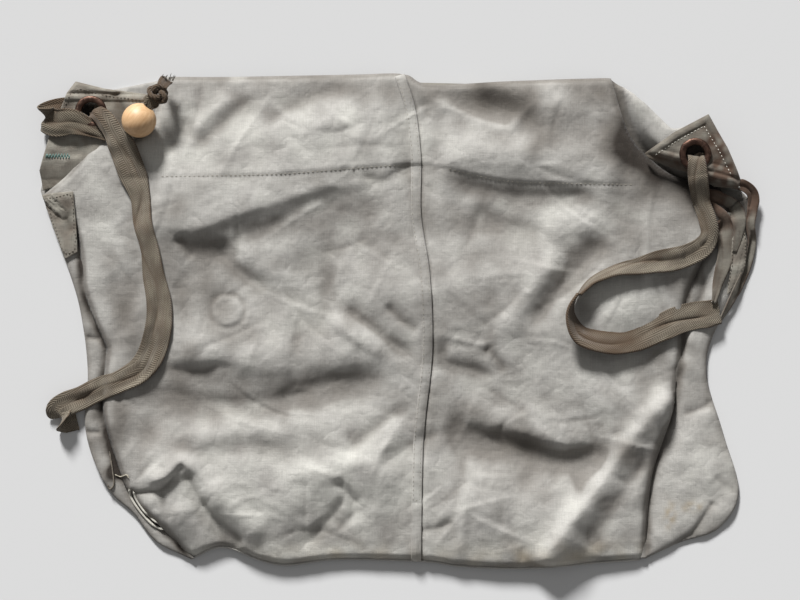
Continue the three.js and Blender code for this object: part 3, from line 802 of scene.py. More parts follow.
def front_light_shade_and_grime(x, y):
    """Painted light with some fading (above 0), and painted shade and painted shadow with some grime (below
    0), broken up by soft noise.
    """
    t = bump(x, y, (-150, 160), 0.5, 110, 34) + bump(x, y, (-20, 160), 0.45, 46, 40)
    t += bump(x, y, (-96, 6), 0.5, 40, 30, 20) + bump(x, y, (-150, -150), 0.75, 70, 50, -20)
    t += bump(x, y, (-30, -130), 0.6, 46, 60) + bump(x, y, (110, -175), 0.45, 80, 40)
    t += bump(x, y, (-272, 92), 0.5, 26, 40) + bump(x, y, (150, 84), 0.5, 44, 38, 20)
    # the second term is painted light inside the right loop, where the tape throws shade
    t += bump(x, y, (60, 60), 0.4, 60, 40) + bump(x, y, (206, 14), 1.1, 36, 20)
    t += bump(x, y, (130, -52), 0.35, 36, 34)
    t -= bump(x, y, (-196, 44), 0.7, 44, 44, -30) + bump(x, y, (-246, 0), 0.6, 22, 60)
    # the second term is painted light where the bead and tape throw shade
    t -= bump(x, y, (16, 90), 0.4, 20, 46) - bump(x, y, (-206, 154), 0.5, 24, 24)
    t -= bump(x, y, (86, 207), 1.1, 88, 20, -3) + bump(x, y, (204, 176), 0.5, 20, 40, 20)
    # the first term is painted shadow under the right flap
    t -= 3.6 * near_line(x, y, RIGHT_FLAP_SHADOW_LINE, 22) + bump(x, y, (190, 62), 0.8, 34, 14, -10)
    t -= bump(x, y, (-76, -58), 0.35, 80, 14, -6) + bump(x, y, (24, -64), 0.5, 18, 46)
    t -= bump(x, y, (104, -102), 0.9, 84, 18, -14) + bump(x, y, (196, -146), 0.6, 16, 50, -34)
    t -= bump(x, y, (250, 20), 0.9, 20, 60) + bump(x, y, (-256, -110), 0.9, 14, 40)
    t -= 1.2 * near_line(x, y, LEFT_SEAM, 3.5) + near_line(x, y, RIGHT_SEAM, 3.5)
    t -= bump(x, y, (-30, 209), 0.5, 60, 14) + bump(x, y, (130, 180), 0.5, 44, 44)
    t += bump(x, y, (16, 158), 0.4, 24, 20) - bump(x, y, (-206, 104), 0.5, 22, 20)
    t -= bump(x, y, (-150, 0), 0.6, 28, 22) + bump(x, y, (-200, -52), 1.1, 14, 20)
    t -= bump(x, y, (-206, -106), 0.7, 30, 20, -20) + bump(x, y, (104, -156), 0.6, 40, 22, 10)
    t -= bump(x, y, (70, 60), 0.5, 34, 60, 20) + bump(x, y, (74, -156), 0.4, 30, 30)
    # the last term is painted light along the bottom edge, where the cloth rolls under
    t += bump(x, y, (-46, -158), 0.9, 70, 24) + 0.7 * np.exp(-(((y + 211) / 10) ** 2))
    return t * (0.85 + 0.3 * ripples(x, y, 95, 60)) + 0.2 * ripples(x, y, 96, 30)


def left_front_height(x, y):
    """The front, rolled down along its left seam and along the edge that lies over the left flap."""
    z = front_height(x, y)
    z -= 7.0 * np.exp(-(distance(x, y, LEFT_SEAM) / 4.5) ** 1.6)
    z -= 3.0 * np.exp(-(distance(x, y, LEFT_MOUTH_SIDE) / 3.5) ** 2)
    z -= 3.5 * np.exp(-(distance(x, y, MOUTH_EDGE) / 3.0) ** 2)
    z -= 3.2 * np.exp(-(distance(x, y, BOTTOM_EDGE) / 3.0) ** 2)
    z -= 1.4 * np.exp(-(distance(x, y, CENTRE_LINE) / 3.0) ** 2)
    return np.maximum(z, 2.5)


def right_front_height(x, y):
    """The front, rolled down along its right seam, its mouth side and its bottom."""
    z = front_height(x, y)
    z -= 7.0 * np.exp(-(distance(x, y, RIGHT_SEAM) / 4.5) ** 1.6)
    z -= 4.0 * np.exp(-(distance(x, y, RIGHT_MOUTH_SIDE) / 4.0) ** 2)
    z -= 3.5 * np.exp(-(distance(x, y, MOUTH_EDGE) / 3.0) ** 2)
    z -= 3.2 * np.exp(-(distance(x, y, BOTTOM_EDGE) / 3.0) ** 2)
    z -= 1.7 * np.exp(-(distance(x, y, CENTRE_LINE) / 2.4) ** 2)
    return np.maximum(z, 2.5)


def add_front():
    """The two front panels."""
    finish = {"stains": front_soil, "tone": front_light_shade_and_grime}
    left = cloth("front_left_cloth", FRONT_LEFT_OUTLINE, left_front_height, **finish)
    thicken(place(left, CANVAS_FINISH, "canvas", "front_left_panel"), CANVAS)
    declare_cloth(FRONT_LEFT_OUTLINE)
    right = cloth("front_right_cloth", FRONT_RIGHT_OUTLINE, right_front_height, **finish)
    thicken(place(right, CANVAS_FINISH, "canvas", "front_right_panel"), CANVAS)
    declare_cloth(FRONT_RIGHT_OUTLINE)


# ---- the back, the gussets and the bottom ----
def back_height(x, y):
    """The back lies on the floor and climbs at the right of the mouth to meet the right flap."""
    z = 1.7 + 0.25 * ripples(x, y, 51, 60)
    gap, side, _, _ = nearest(x, y, RIGHT_MOUTH_SIDE)
    climb = np.clip((side * gap - 1) / 15, 0, 1)
    climb = climb * np.clip((x - 190) / 12, 0, 1) * np.clip((y - 110) / 20, 0, 1)
    climb = climb * climb * (3 - 2 * climb)
    z = z + climb * (15 + 0.8 * ripples(x, y, 57, 40) + bump(x, y, (212, 190), 4.0, 12, 30, 30))
    return np.maximum(z, 1.3)


def back_painted_shade(x, y):
    """Painted shadow seen through both eyelets, painted shade where the back runs under the front's edge,
    and a lighter patch beside it.
    """
    t = -3 * (bump(x, y, LEFT_EYELET, 1, 13, 13) + bump(x, y, RIGHT_EYELET, 1, 15, 15))
    t -= 1.6 * near_line(x, y, RIGHT_MOUTH_SIDE, 5) - bump(x, y, (228, 190), 0.4, 24, 16, -40)
    return t + 0.1 * ripples(x, y, 58, 24)


def add_back():
    outline = np.vstack([
        [(-212, 219)], between(MOUTH_EDGE, -205, 190) - [0, 2.5],
        [(192, 219), (222, 196), (246, 173), (276, 178), (300, 128)], RIGHT_OUTER[2:],
        between(BOTTOM_EDGE, -188, 222)[::-1] + [0, 1.5], LEFT_OUTER[::-1],
        [(-318, 146), (-303, 184), (-288, 204)],
    ])
    back = cloth("back_cloth", outline, back_height, spacing=3.0, tone=back_painted_shade)
    thicken(place(back, CANVAS_FINISH, "canvas", "back_panel"), CANVAS)
    declare_cloth(outline)


def gusset_roll(inner, outer, crown, low):
    """A soft roll between the side seam and the outer fold: crown times sin of the share of the way
    across, over a low edge."""
    def height(x, y):
        a = distance(x, y, inner)
        b = distance(x, y, outer)
        share = a / np.maximum(a + b, 1e-6)
        roll = np.sin(np.pi * np.clip(share, 0, 1)) ** 0.7
        return low + crown * roll * np.clip((a + b) / 24, 0.35, 1)
    return height


def right_gusset_height(x, y):
    """The right gusset: a roll, with the creases of its long strip and its rounded ear."""
    z = gusset_roll(RIGHT_SEAM, RIGHT_OUTER, 4.8, 3.2)(x, y)
    z += fold(x, y, [(286, -72), (276, -78), (266, -82), (256, -86)], -2.4, 4, 5, 1.4)
    z += fold(x, y, [(252, -206), (266, -192), (278, -174), (286, -162)], -2.6, 3, 6, 1.3, 0.1)
    z += fold(x, y, [(284, -140), (296, -150), (308, -154)], -1.6, 5, 6, 1.4)
    z += fold(x, y, [(270, 60), (276, 30), (266, 4), (258, -20), (254, -44)], -2.6, 3, 6, 1.4)
    z += fold(x, y, [(276, 58), (264, 20), (260, -20), (262, -60)], 2.2, 7, 5)
    z += fold(x, y, [(262, -100), (250, -130), (240, -160)], 1.4, 10, 10)
    z += bump(x, y, (276, -130), 2.0, 18, 34, 10)
    z += 0.5 * ripples(x, y, 64, 30)
    return np.maximum(z, 2.6)


def left_gusset_height(x, y):
    """The left gusset: a narrow roll with a few cross creases and the curl at its lower end."""
    z = gusset_roll(LEFT_SEAM, LEFT_OUTER, 3.4, 3.2)(x, y) + 0.4 * ripples(x, y, 65, 26)
    z += fold(x, y, [(-284, -14), (-276, -16), (-268, -16)], -1.8, 3, 3, 1.4)
    z += fold(x, y, [(-286, -100), (-278, -101), (-268, -101)], -2.0, 3, 3, 1.4)
    z += fold(x, y, [(-286, -112), (-276, -132), (-262, -152)], 1.8, 4, 4, 1.5)
    return np.maximum(z, 2.6)


def gusset_painted_shade(x, y):
    """The gussets: painted shadow in the opening beside the right flap and in the gap at the lower left
    corner, darker along the side seams and in a few patches, lighter on the lower right ear.
    """
    # the second term is painted shadow in the opening beside the right flap
    t = bump(x, y, (280, -140), 0.6, 30, 46) - bump(x, y, (304, 112), 1.6, 34, 34)
    t -= bump(x, y, (262, 10), 0.6, 14, 70) + bump(x, y, (-268, -112), 0.9, 26, 44)
    # the last term is painted shadow in the gap at the lower left corner
    t -= bump(x, y, (-284, 20), 0.5, 14, 60) + bump(x, y, (-256, -130), 3.0, 6, 13, -20)
    t -= 1.6 * near_line(x, y, LEFT_SEAM, 4) + 1.4 * near_line(x, y, RIGHT_SEAM, 4)
    return t * (0.85 + 0.3 * ripples(x, y, 93, 22))


def gusset_soil(x, y):
    """Two yellow-brown stains near the lower right corner."""
    stain = bump(x, y, (245, -176), 0.55, 5, 10) + bump(x, y, (264, -168), 0.4, 11, 5)
    return np.clip(stain * (0.7 + 0.5 * ripples(x, y, 77, 9)), 0, 0.6)


def gusset_outlines():
    """The outline of each gusset, tucked a little way under the front's seam."""
    overlap = 5.0
    left = np.vstack([LEFT_OUTER[2:], LEFT_SEAM[::-1] + [overlap, 0]])
    right = np.vstack([RIGHT_SEAM - [overlap, 0], RIGHT_OUTER[::-1]])
    return left, right


def add_gussets():
    left_outline, right_outline = gusset_outlines()
    left = cloth("left_gusset_cloth", left_outline, left_gusset_height, spacing=1.2, tone=gusset_painted_shade)
    thicken(place(left, CANVAS_FINISH, "canvas", "left_gusset"), CANVAS)
    declare_cloth(left_outline, flat=(0.34, 0.034))
    right = cloth(
        "right_gusset_cloth", right_outline, right_gusset_height, spacing=1.5, stains=gusset_soil,
        tone=gusset_painted_shade)
    thicken(place(right, CANVAS_FINISH, "canvas", "right_gusset"), CANVAS)
    declare_cloth(right_outline, flat=(0.36, 0.09))


# ---- corner flaps ----
LEFT_FLAP = np.array([
    (-292, 216.5), (-266, 210), (-228, 205), (-222, 190), (-226, 172), (-246, 158), (-282, 140), (-302, 124),
    (-322, 118), (-325, 136), (-316, 166), (-306, 190), (-300, 206),
])
RIGHT_FLAP = np.array([
    (221, 151), (247.5, 170), (278, 186), (295, 156), (308, 127), (305, 119), (284, 121), (262, 133),
    (240, 140), (225, 146),
])


def hem(x, y, outline, width, height=1.1):
    """The doubled edge of a hemmed flap: a step at its inner line and a soft round at its rim."""
    loop = np.vstack([outline, outline[:1]])
    gap = distance(x, y, loop)
    step = height / (1 + np.exp((gap - width) / 0.55))
    return step - 0.7 * np.exp(-((gap - width) / 1.2) ** 2) - 1.5 * np.exp(-(gap / 1.6) ** 2)


def eyelet_pull(x, y, centre):
    """The cloth is pinched flat by an eyelet and puckers around it: a shallow dish with six spokes."""
    r = np.hypot(x - centre[0], y - centre[1])
    angle = np.arctan2(y - centre[1], x - centre[0])
    return (0.5 * np.sin(6 * angle + 0.8) - 0.3) * np.exp(-((r - 17) / 6) ** 2)


def left_flap_height(x, y):
    """The left corner flap: low, hemmed on its open sides, with an upright fold beside the eyelet."""
    z = 12.2 + hem(x, y, LEFT_FLAP[[12, 0, 1, 2]], 7.0) + eyelet_pull(x, y, LEFT_EYELET)
    z += fold(x, y, [(-256, 208), (-252, 196), (-248, 184), (-250, 170)], -2.8, 4, 7, 1.5, 0.1)
    z += bump(x, y, (-240, 197), 1.8, 9, 10)
    z += fold(x, y, [(-302, 200), (-299, 186), (-304, 172)], -1.2, 4, 4)
    z += fold(x, y, [(-318, 150), (-300, 150), (-284, 152)], -1.2, 4, 3)
    z += 0.35 * ripples(x, y, 81, 24)
    drop = np.clip((158 - y) / 30, 0, 1)
    return z - 5.5 * drop * drop


def right_flap_height(x, y):
    """The right corner flap: it stands well above the sack and its lower edge rolls under."""
    z = RIGHT_FLAP_TOP - 0.4 + hem(x, y, RIGHT_FLAP[0:5], 7.0) + eyelet_pull(x, y, RIGHT_EYELET)
    lower = distance(x, y, smooth(RIGHT_FLAP[[4, 5, 6, 7, 8, 9, 0]], 6))
    z -= 7.5 * np.exp(-(lower / 6.5) ** 1.5)
    z += fold(x, y, [(232, 156), (246, 152), (252, 148)], -1.0, 3, 4)
    z += fold(x, y, [(300, 138), (288, 136), (280, 140)], -1.2, 4, 4)
    z += 0.35 * ripples(x, y, 86, 26)
    return z


def flap_soil(x, y):
    """Rust from the eyelet and a dark stain at the lower corner of the right flap."""
    rust = bump(x, y, (284, 158), 0.6, 9, 12, 20) + bump(x, y, (292, 134), 0.85, 12, 8, -20)
    rust = rust + bump(x, y, (LEFT_EYELET[0] - 4, LEFT_EYELET[1]), 0.35, 20, 20)
    rust = rust + bump(x, y, (262, 138), 0.6, 40, 6, -22)
    rust = rust + 0.2 + bump(x, y, (290, 150), 0.4, 16, 30, 26)
    return np.clip(rust * (0.75 + 0.3 * ripples(x, y, 91, 10)), 0, 0.9)


def add_flaps():
    left_hole = circle(LEFT_EYELET[:2], EYELET_HOLE + 1.4)
    left = cloth("left_flap_cloth", LEFT_FLAP, left_flap_height, [left_hole], 0.9, flap_soil)
    thicken(place(left, FLAP_CANVAS, "canvas", "left_corner_flap"), 1.8)
    declare_cloth(LEFT_FLAP, [left_hole])
    right_hole = circle(RIGHT_EYELET[:2], EYELET_HOLE + 1.4)
    right = cloth("right_flap_cloth", RIGHT_FLAP, right_flap_height, [right_hole], 0.9, flap_soil)
    thicken(place(right, HEM_CANVAS, "canvas", "right_corner_flap"), 1.8)
    declare_cloth(RIGHT_FLAP, [right_hole])


# ---- the highest cloth at any place ----
FRONT_LEFT_OUTLINE = np.vstack([
    between(MOUTH_EDGE, -212, 3), CENTRE_LINE, between(BOTTOM_EDGE, -189, 18)[::-1], LEFT_SEAM[::-1],
    [(-310, 104)], LEFT_MOUTH_SIDE[::-1][:-1],
])
FRONT_RIGHT_OUTLINE = np.vstack([
    between(MOUTH_EDGE, 6, 192), RIGHT_MOUTH_SIDE[1:], RIGHT_SEAM, between(BOTTOM_EDGE, 21, 223)[::-1],
    CENTRE_LINE[::-1],
])


def top_height(x, y, with_flaps=True):
    """Height of whatever cloth is uppermost at a place, and 0 on the bare floor."""
    left_outline, right_outline = gusset_outlines()
    layers = [
        (left_outline, left_gusset_height), (right_outline, right_gusset_height),
        (FRONT_LEFT_OUTLINE, left_front_height), (FRONT_RIGHT_OUTLINE, right_front_height),
    ]
    if with_flaps:
        layers += [(LEFT_FLAP, left_flap_height), (RIGHT_FLAP, right_flap_height)]
    z = np.zeros(x.shape)
    for outline, height in layers:
        covered = inside(x, y, outline)
        if covered.any():
            z[covered] = np.maximum(z[covered], height(x[covered], y[covered]))
    return z


# ---- strips, threads and stitches ----
def ribbon(points, columns):
    """Faces of a grid of points, rows along and columns across."""
    rows = len(points) // columns
    index = np.arange(rows * columns).reshape(rows, columns)
    return np.stack([index[:-1, :-1], index[:-1, 1:], index[1:, 1:], index[1:, :-1]], -1).reshape(-1, 4)


def seam_strip(name, line, width, height, lift, columns=9):
    """A narrow strip on the left of a line: across it the height is the cloth's plus a lift that
    rounds off at both edges as 1 - (2v - 1)^6."""
    rows = smooth(line[::4], 12)
    step = np.gradient(rows, axis=0)
    step /= np.linalg.norm(step, axis=1, keepdims=True)
    left = np.stack([step[:, 1], -step[:, 0]], -1)
    v = np.linspace(0, 1, columns)
    x = rows[:, :1] + left[:, :1] * width * v
    y = rows[:, 1:] + left[:, 1:] * width * v
    z = height(x, y) + lift * (1 - (2 * v - 1) ** 6) + 0.3 - 0.16 * v
    points = np.stack([x, y, z], -1).reshape(-1, 3)
    relief = np.tile(0.6 * (1 - (2 * v - 1) ** 2), len(rows))
    # the strip takes the front's tone: painted light, painted shade and painted shadow
    tone = front_light_shade_and_grime(x, y).ravel()
    return mesh_object(
        name, points, ribbon(points, columns)[:, ::-1], uv=points[:, :2] * MM,
        attributes={
            "relief": relief, "soil_and_shade": front_soil(points[:, 0], points[:, 1]), "fade": np.clip(tone, 0, 1),
            "shade_and_grime": np.clip(-tone, 0, 1), "painted_shadow": np.clip(-tone - 1, 0, 1),
        },
    )


def stitches(name, line, height, material, slot, node=None, length=2.6, gap=1.5, radius=0.42, body="sack"):
    """A row of stitches: each is a six-sided spindle that arches as sin over its length and dips into
    the cloth at its ends."""
    line = np.asarray(line, float)
    spans = np.hypot(*np.diff(line, axis=0).T)
    reach = np.concatenate([[0], np.cumsum(spans)])
    starts = np.arange(0, reach[-1] - length, length + gap)
    t = np.linspace(0, 1, 6)
    rng = np.random.default_rng(len(starts))
    places = starts[:, None] + rng.normal(0, 0.15, (len(starts), 1)) + t * length
    x = np.interp(places, reach, line[:, 0])
    y = np.interp(places, reach, line[:, 1])
    arch = np.sin(np.pi * t)
    z = height(x, y) + radius * (1.5 * arch - 0.7)
    dx, dy = x[:, -1] - x[:, 0], y[:, -1] - y[:, 0]
    norm = np.hypot(dx, dy)
    across = np.stack([-dy / norm, dx / norm], -1)[:, None, None, :]
    angle = np.arange(6) * np.pi / 3
    thick = radius * (0.45 + 0.55 * arch)[None, :, None]
    vx = x[..., None] + across[..., 0] * thick * np.cos(angle)
    vy = y[..., None] + across[..., 1] * thick * np.cos(angle)
    vz = z[..., None] + thick * np.sin(angle)
    points = np.stack([vx, vy, vz], -1).reshape(-1, 3)
    faces = []
    for ring in range(5):
        for side in range(6):
            nxt = (side + 1) % 6
            faces.append([ring * 6 + side, ring * 6 + nxt, ring * 6 + 6 + nxt, ring * 6 + 6 + side])
    faces += [[0, 3, 2, 1], [0, 5, 4, 3], [30, 31, 32, 33], [30, 33, 34, 35]]
    faces = np.array(faces)
    every = (faces[None] + np.arange(len(starts))[:, None, None] * 36).reshape(-1, 4)
    piece = mesh_object(name, points, every)
    nodes = [node] if node else []
    return place(piece, material, slot, *nodes, body=body)


def strand(name, points, radius, material, slot, node=None):
    """A loose thread: an eight-sided tube along a smooth curve, thinner towards both ends."""
    path = smooth(points, 8)
    count = len(path)
    tangent = np.gradient(path, axis=0)
    tangent /= np.linalg.norm(tangent, axis=1, keepdims=True)
    side = np.cross(tangent, (0, 0, 1.0))
    side /= np.maximum(np.linalg.norm(side, axis=1, keepdims=True), 1e-6)
    up = np.cross(side, tangent)
    angle = np.arange(8) * np.pi / 4
    taper = radius * np.clip(np.minimum(np.arange(count), np.arange(count)[::-1]) / 3, 0.3, 1)
    ring = side[:, None] * np.cos(angle)[:, None] + up[:, None] * np.sin(angle)[:, None]
    points = (path[:, None] + ring * taper[:, None, None]).reshape(-1, 3)
    index = np.arange(count * 8).reshape(count, 8)
    nxt = np.roll(index, -1, 1)
    faces = np.stack([index[:-1], nxt[:-1], nxt[1:], index[1:]], -1).reshape(-1, 4).tolist()
    for row in (index[0][::-1], index[-1]):
        faces += [row[[0, 1, 2, 3]].tolist(), row[[0, 3, 4, 5]].tolist(), row[[0, 5, 6, 7]].tolist()]
    piece = mesh_object(name, points, faces)
    nodes = [node] if node else []
    return place(piece, material, slot, *nodes)


def tape(name, route, full_width, columns=33, seed=5, over_flaps=True, steps=12, pleats=1, dark=(2, 3)):
    """A woven tape along a route of x, y, lift, width, heading, tilt and follow. Its section keeps one
    arc length: the part wider than the route's width turns round a small radius and runs back
    underneath. Height is follow times the cloth's height, plus the lift. Lengthwise creases wander
    along it. Its edges are stained; painted shade darkens the creases, the turned-under edges and its
    start, and the stretch between the two dark shares of its length is darker brown."""
    rows = smooth(route, steps)
    x, y, lift, width, heading, tilt, follow = rows.T
    ground = top_height(x, y, over_flaps)
    centre = np.stack([x, y, lift + follow * ground], -1)
    kernel = np.ones(7) / 7
    padded = np.concatenate([np.full(3, centre[0, 2]), centre[:, 2], np.full(3, centre[-1, 2])])
    soft = np.convolve(padded, kernel, "valid")
    centre[:, 2] = np.where(follow > 0.5, soft, centre[:, 2])
    tangent = np.gradient(centre, axis=0)
    tangent /= np.linalg.norm(tangent, axis=1, keepdims=True)
    h, t = np.radians(heading), np.radians(tilt)
    across = np.stack([np.cos(h) * np.cos(t), np.sin(h) * np.cos(t), np.sin(t)], -1)
    across -= tangent * (across * tangent).sum(1, keepdims=True)
    across /= np.linalg.norm(across, axis=1, keepdims=True)
    normal = np.cross(tangent, across)
    normal *= np.where(normal[:, 2:] < 0, -1, 1)
    radius = 0.9
    arc = np.linspace(0, full_width, columns)[None]
    w = np.clip(width, full_width * 0.42, full_width)[:, None]
    over = np.clip(arc - w, 0, None)
    turn = np.clip(over / radius, 0, np.pi)
    back = np.clip(over - np.pi * radius, 0, w - 1.5)
    a = np.minimum(arc, w) - w / 2 + radius * np.sin(turn) - back
    b = -radius * (1 - np.cos(turn)) * np.clip((full_width - w) / 2, 0, 1)
    u = np.concatenate([[0], np.cumsum(np.linalg.norm(np.diff(centre, axis=0), axis=1))])[:, None]
    wave = ripples(u + 0 * a, 2.2 * a, seed, 26) * 0.45 + ripples(u + 0 * a, 3 * a, seed + 3, 60) * 0.7
    b = b + wave * np.clip(np.cos(t), 0.3, 1)[:, None] - 0.0035 * a * a
    crease = 0 * a
    for number in range(pleats):
        middle = (number - (pleats - 1) / 2) * 0.36 * w
        wander = middle + 2.4 * ripples(u, 0 * u, seed + 20 + number, 90)
        depth = np.clip(0.8 + 0.5 * ripples(u, 0 * u, seed + 30 + number, 50), 0.2, 1.4)
        crease += depth * np.exp(-np.abs(a - wander) / 1.3)
    b = b - 1.1 * crease + 0.3 * (np.minimum(arc, full_width - arc) < 1.2)
    a = a + 0.35 * ripples(u + 0 * a, 0 * a, seed + 6, 40)
    scale = np.clip(width[:, None] / w, 0.2, 1)
    points = centre[:, None] + across[:, None] * (a * scale)[..., None] + normal[:, None] * b[..., None]
    under = top_height(points[..., 0], points[..., 1], over_flaps)
    lying = (follow > 0.9)[:, None] & (np.abs(tilt) < 50)[:, None]
    floor = under + 0.9 + (b - b.min(1, keepdims=True)) * 0.8
    points[..., 2] = np.where(lying, np.maximum(points[..., 2], floor), points[..., 2])
    points[..., 2] = np.maximum(points[..., 2], 1.0)
    points = points.reshape(-1, 3)
    v = arc + 0 * w
    # stained edges; painted shade where the edges turn under, in the creases and at the start; the dark
    # share is darker brown
    soil_and_shade = np.clip(0.35 - 0.1 * np.minimum(v, full_width - v), 0, 0.4) + 0.5 * (turn > 0.3) * (turn < 2.6)
    soil_and_shade += 0.3 * np.clip(ripples(u + 0 * a, 2 * a, seed + 9, 34), 0, 1) + 0.5 * crease + np.exp(-u / 7)
    share = u / u[-1]
    soil_and_shade += 0.65 / (1 + np.exp((np.abs(share - sum(dark) / 2) - (dark[1] - dark[0]) / 2) / 0.012))
    uv = np.stack([(u + 0 * a).ravel(), v.ravel()], -1) * MM
    faces = ribbon(points, columns)
    piece = mesh_object(name, points, faces, uv=uv, attributes={"soil_and_shade": np.clip(soil_and_shade.ravel(), 0, 0.9)})
    return piece, float(u[-1, 0])


LEFT_TAPE_ROUTE = [
    (LEFT_EYELET[0] + 2, LEFT_EYELET[1] - 1, 6, 13, 53, 0, 0),
    (LEFT_EYELET[0] + 2, LEFT_EYELET[1] - 1, 12.5, 12, 53, 0, 0),
    (-272, 186, 17.6, 13, 50, 8, 0), (-265, 180, 19.5, 16, 42, 10, 0), (-258, 171, 19.4, 17, 32, 12, 0),
    (-252, 161, 20.6, 22, 26, 10, 0), (-246, 149, 2.6, 25, 22, 6, 1), (-240, 134, 1.8, 25, 18, 0, 1),
    (-234, 112, 1.8, 17, 18, 0, 1), (-231, 90, 1.8, 16, 14, 0, 1), (-226, 68, 1.8, 15, 14, 0, 1),
    (-221, 44, 1.8, 18, 13, 0, 1), (-217, 18, 1.8, 21, 6, 0, 1), (-217, -6, 1.8, 23, -6, 0, 1),
    (-222, -26, 2.4, 24, -26, 6, 1), (-235, -44, 3.0, 22, -52, 12, 1), (-252, -54, 3.0, 19, -66, 10, 1),
    (-268, -60, 3.0, 20, -68, 4, 1), (-286, -68, 5.5, 20, -66, 0, 0.8), (-300, -74, 9.5, 21, -60, 0, 0.2),
    (-308, -82, 8.0, 22, -48, -10, 0), (-302, -90, 4.0, 21, -46, -16, 0), (-292, -88, 3.0, 19, -60, -8, 0),
]
RIGHT_TAPE_ROUTE = [
    (RIGHT_EYELET[0], RIGHT_EYELET[1] - 2, 15, 15, 4, 0, 0),
    (RIGHT_EYELET[0], RIGHT_EYELET[1] - 2, 24, 14, 4, 0, 0),
    (266, 144, 29.6, 14, 6, 8, 0), (267, 134, 29.5, 16, 8, 20, 0), (269, 120, 24, 16, 12, 26, 0),
    (272, 106, 5.0, 15, 16, 24, 0.9), (277, 92, 3.4, 15, 10, 12, 1), (280, 79, 2.6, 15, -14, 0, 1),
    (275, 68, 2.6, 18, -40, -8, 1), (260, 60, 3.0, 19, -62, -6, 1), (240, 55, 3.2, 20, -72, 8, 1),
    (216, 50, 4.4, 16, -76, 34, 1), (194, 46, 6.4, 13.5, -70, 54, 1), (174, 37, 7.6, 13.5, -50, 70, 1),
    (160, 22, 8.4, 15, -20, 92, 1), (155, 5, 8.6, 17, 14, 116, 1), (164, -12, 7.4, 20, 50, 136, 1),
    (186, -18, 6.0, 21, 76, 148, 1), (208, -18, 4.2, 19, 92, 160, 1), (230, -9, 3.4, 22, 108, 170, 1),
    (250, 0, 2.8, 25, 106, 178, 1), (270, 5, 2.4, 25, 100, 180, 1), (290, 9, 2.2, 21, 96, 180, 1),
]
WRAP_ROUTE = [
    (-290, 190, 8.2, 24, 92, 0, 0), (-308, 189, 8.6, 25, 92, 0, 0), (-319, 184, 11.5, 25, 91, 0, 0),
    (-310, 179, 15.8, 25, 90, 0, 0), (-294, 179, 16.6, 22, 84, 0, 0), (-276, 172, 16.4, 14, 76, 0, 0),
    (-262, 167, 15.6, 11, 78, 0, 0), (-252, 166, 16.0, 8, 95, 0, 0), (-245, 168, 21.5, 6.5, 135, 0, 0),
    tuple((BEAD_CENTRE - 8 * BEAD_AXIS).tolist()) + (6.5, 143, 0, 0),
    tuple((BEAD_CENTRE + 6 * BEAD_AXIS).tolist()) + (6.5, 143, 0, 0),
    tuple((BEAD_CENTRE + 15 * BEAD_AXIS).tolist()) + (8, 143, 0, 0),
    tuple((BEAD_CENTRE + 20 * BEAD_AXIS).tolist()) + (14, 150, 0, 0),
    tuple((BEAD_CENTRE + 27 * BEAD_AXIS).tolist()) + (9, 150, 0, 0),
]


def add_tapes():
    left, left_length = tape("left_tape_weave", LEFT_TAPE_ROUTE, TAPE_WIDTH, seed=5, dark=(0, 0.04))
    thicken(place(left, TAPE_FINISH, "herringbone_tape", "left_tape"), TAPE_THICKNESS, 0.0)
    right, right_length = tape("right_tape_weave", RIGHT_TAPE_ROUTE, TAPE_WIDTH, seed=15, dark=(0.55, 0.82))
    thicken(place(right, TAPE_FINISH, "herringbone_tape", "right_tape"), TAPE_THICKNESS, 0.0)
    wrap, wrap_length = tape("bead_tape_weave", WRAP_ROUTE, TAPE_WIDTH, seed=25, pleats=3, dark=(0, 0.17))
    thicken(place(wrap, OLIVE_FINISH, "olive_tape", "bead_tape"), 1.0, 0.0)


# ---- turned pieces: eyelets and the bead ----
def lathe(name, profile, centre, axis, segments=96, wobble=0.0, seed=1):
    """A closed profile of radius and height turned about an axis through a centre; wobble dents it
    with soft noise of that many millimetres."""
    profile = np.asarray(profile, float)
    axis = np.asarray(axis, float) / np.linalg.norm(axis)
    helper = np.array((0.0, 0.0, 1.0)) if abs(axis[2]) < 0.9 else np.array((1.0, 0.0, 0.0))
    side = np.cross(helper, axis)
    side /= np.linalg.norm(side)
    other = np.cross(axis, side)
    angle = np.linspace(0, 2 * np.pi, segments, endpoint=False)
    ring = side * np.cos(angle)[:, None] + other * np.sin(angle)[:, None]
    around, height = np.meshgrid(angle * 14, profile[:, 1] * 2, indexing="ij")
    dent = wobble * ripples(around, height, seed, 9)
    r = profile[:, 0] + dent
    points = centre + ring[:, None] * r[..., None] + axis * profile[:, 1][None, :, None]
    count = len(profile)
    index = np.arange(segments * count).reshape(segments, count)
    across, down = np.roll(index, -1, 0), np.roll(index, -1, 1)
    faces = np.stack([index, across, np.roll(across, -1, 1), down], -1).reshape(-1, 4)
    return mesh_object(name, points.reshape(-1, 3), faces)


def eyelet_profile(top):
    """Half of a set eyelet: a rolled flange, r from the hole to the rim, over a short barrel."""
    arc = np.linspace(0, np.pi, 16)
    middle = (EYELET_HOLE + EYELET_RADIUS) / 2
    half = (EYELET_RADIUS - EYELET_HOLE) / 2
    flange = np.stack([middle + half * np.cos(arc), top - 1.2 + 2.0 * np.sin(arc) ** 0.8], -1)
    barrel = [
        (EYELET_HOLE + 0.1, top - 5.0), (EYELET_HOLE + 0.9, top - 5.0), (EYELET_HOLE + 0.95, top - 1.7),
        (EYELET_RADIUS - 0.4, top - 1.5),
    ]
    return np.vstack([flange, barrel])


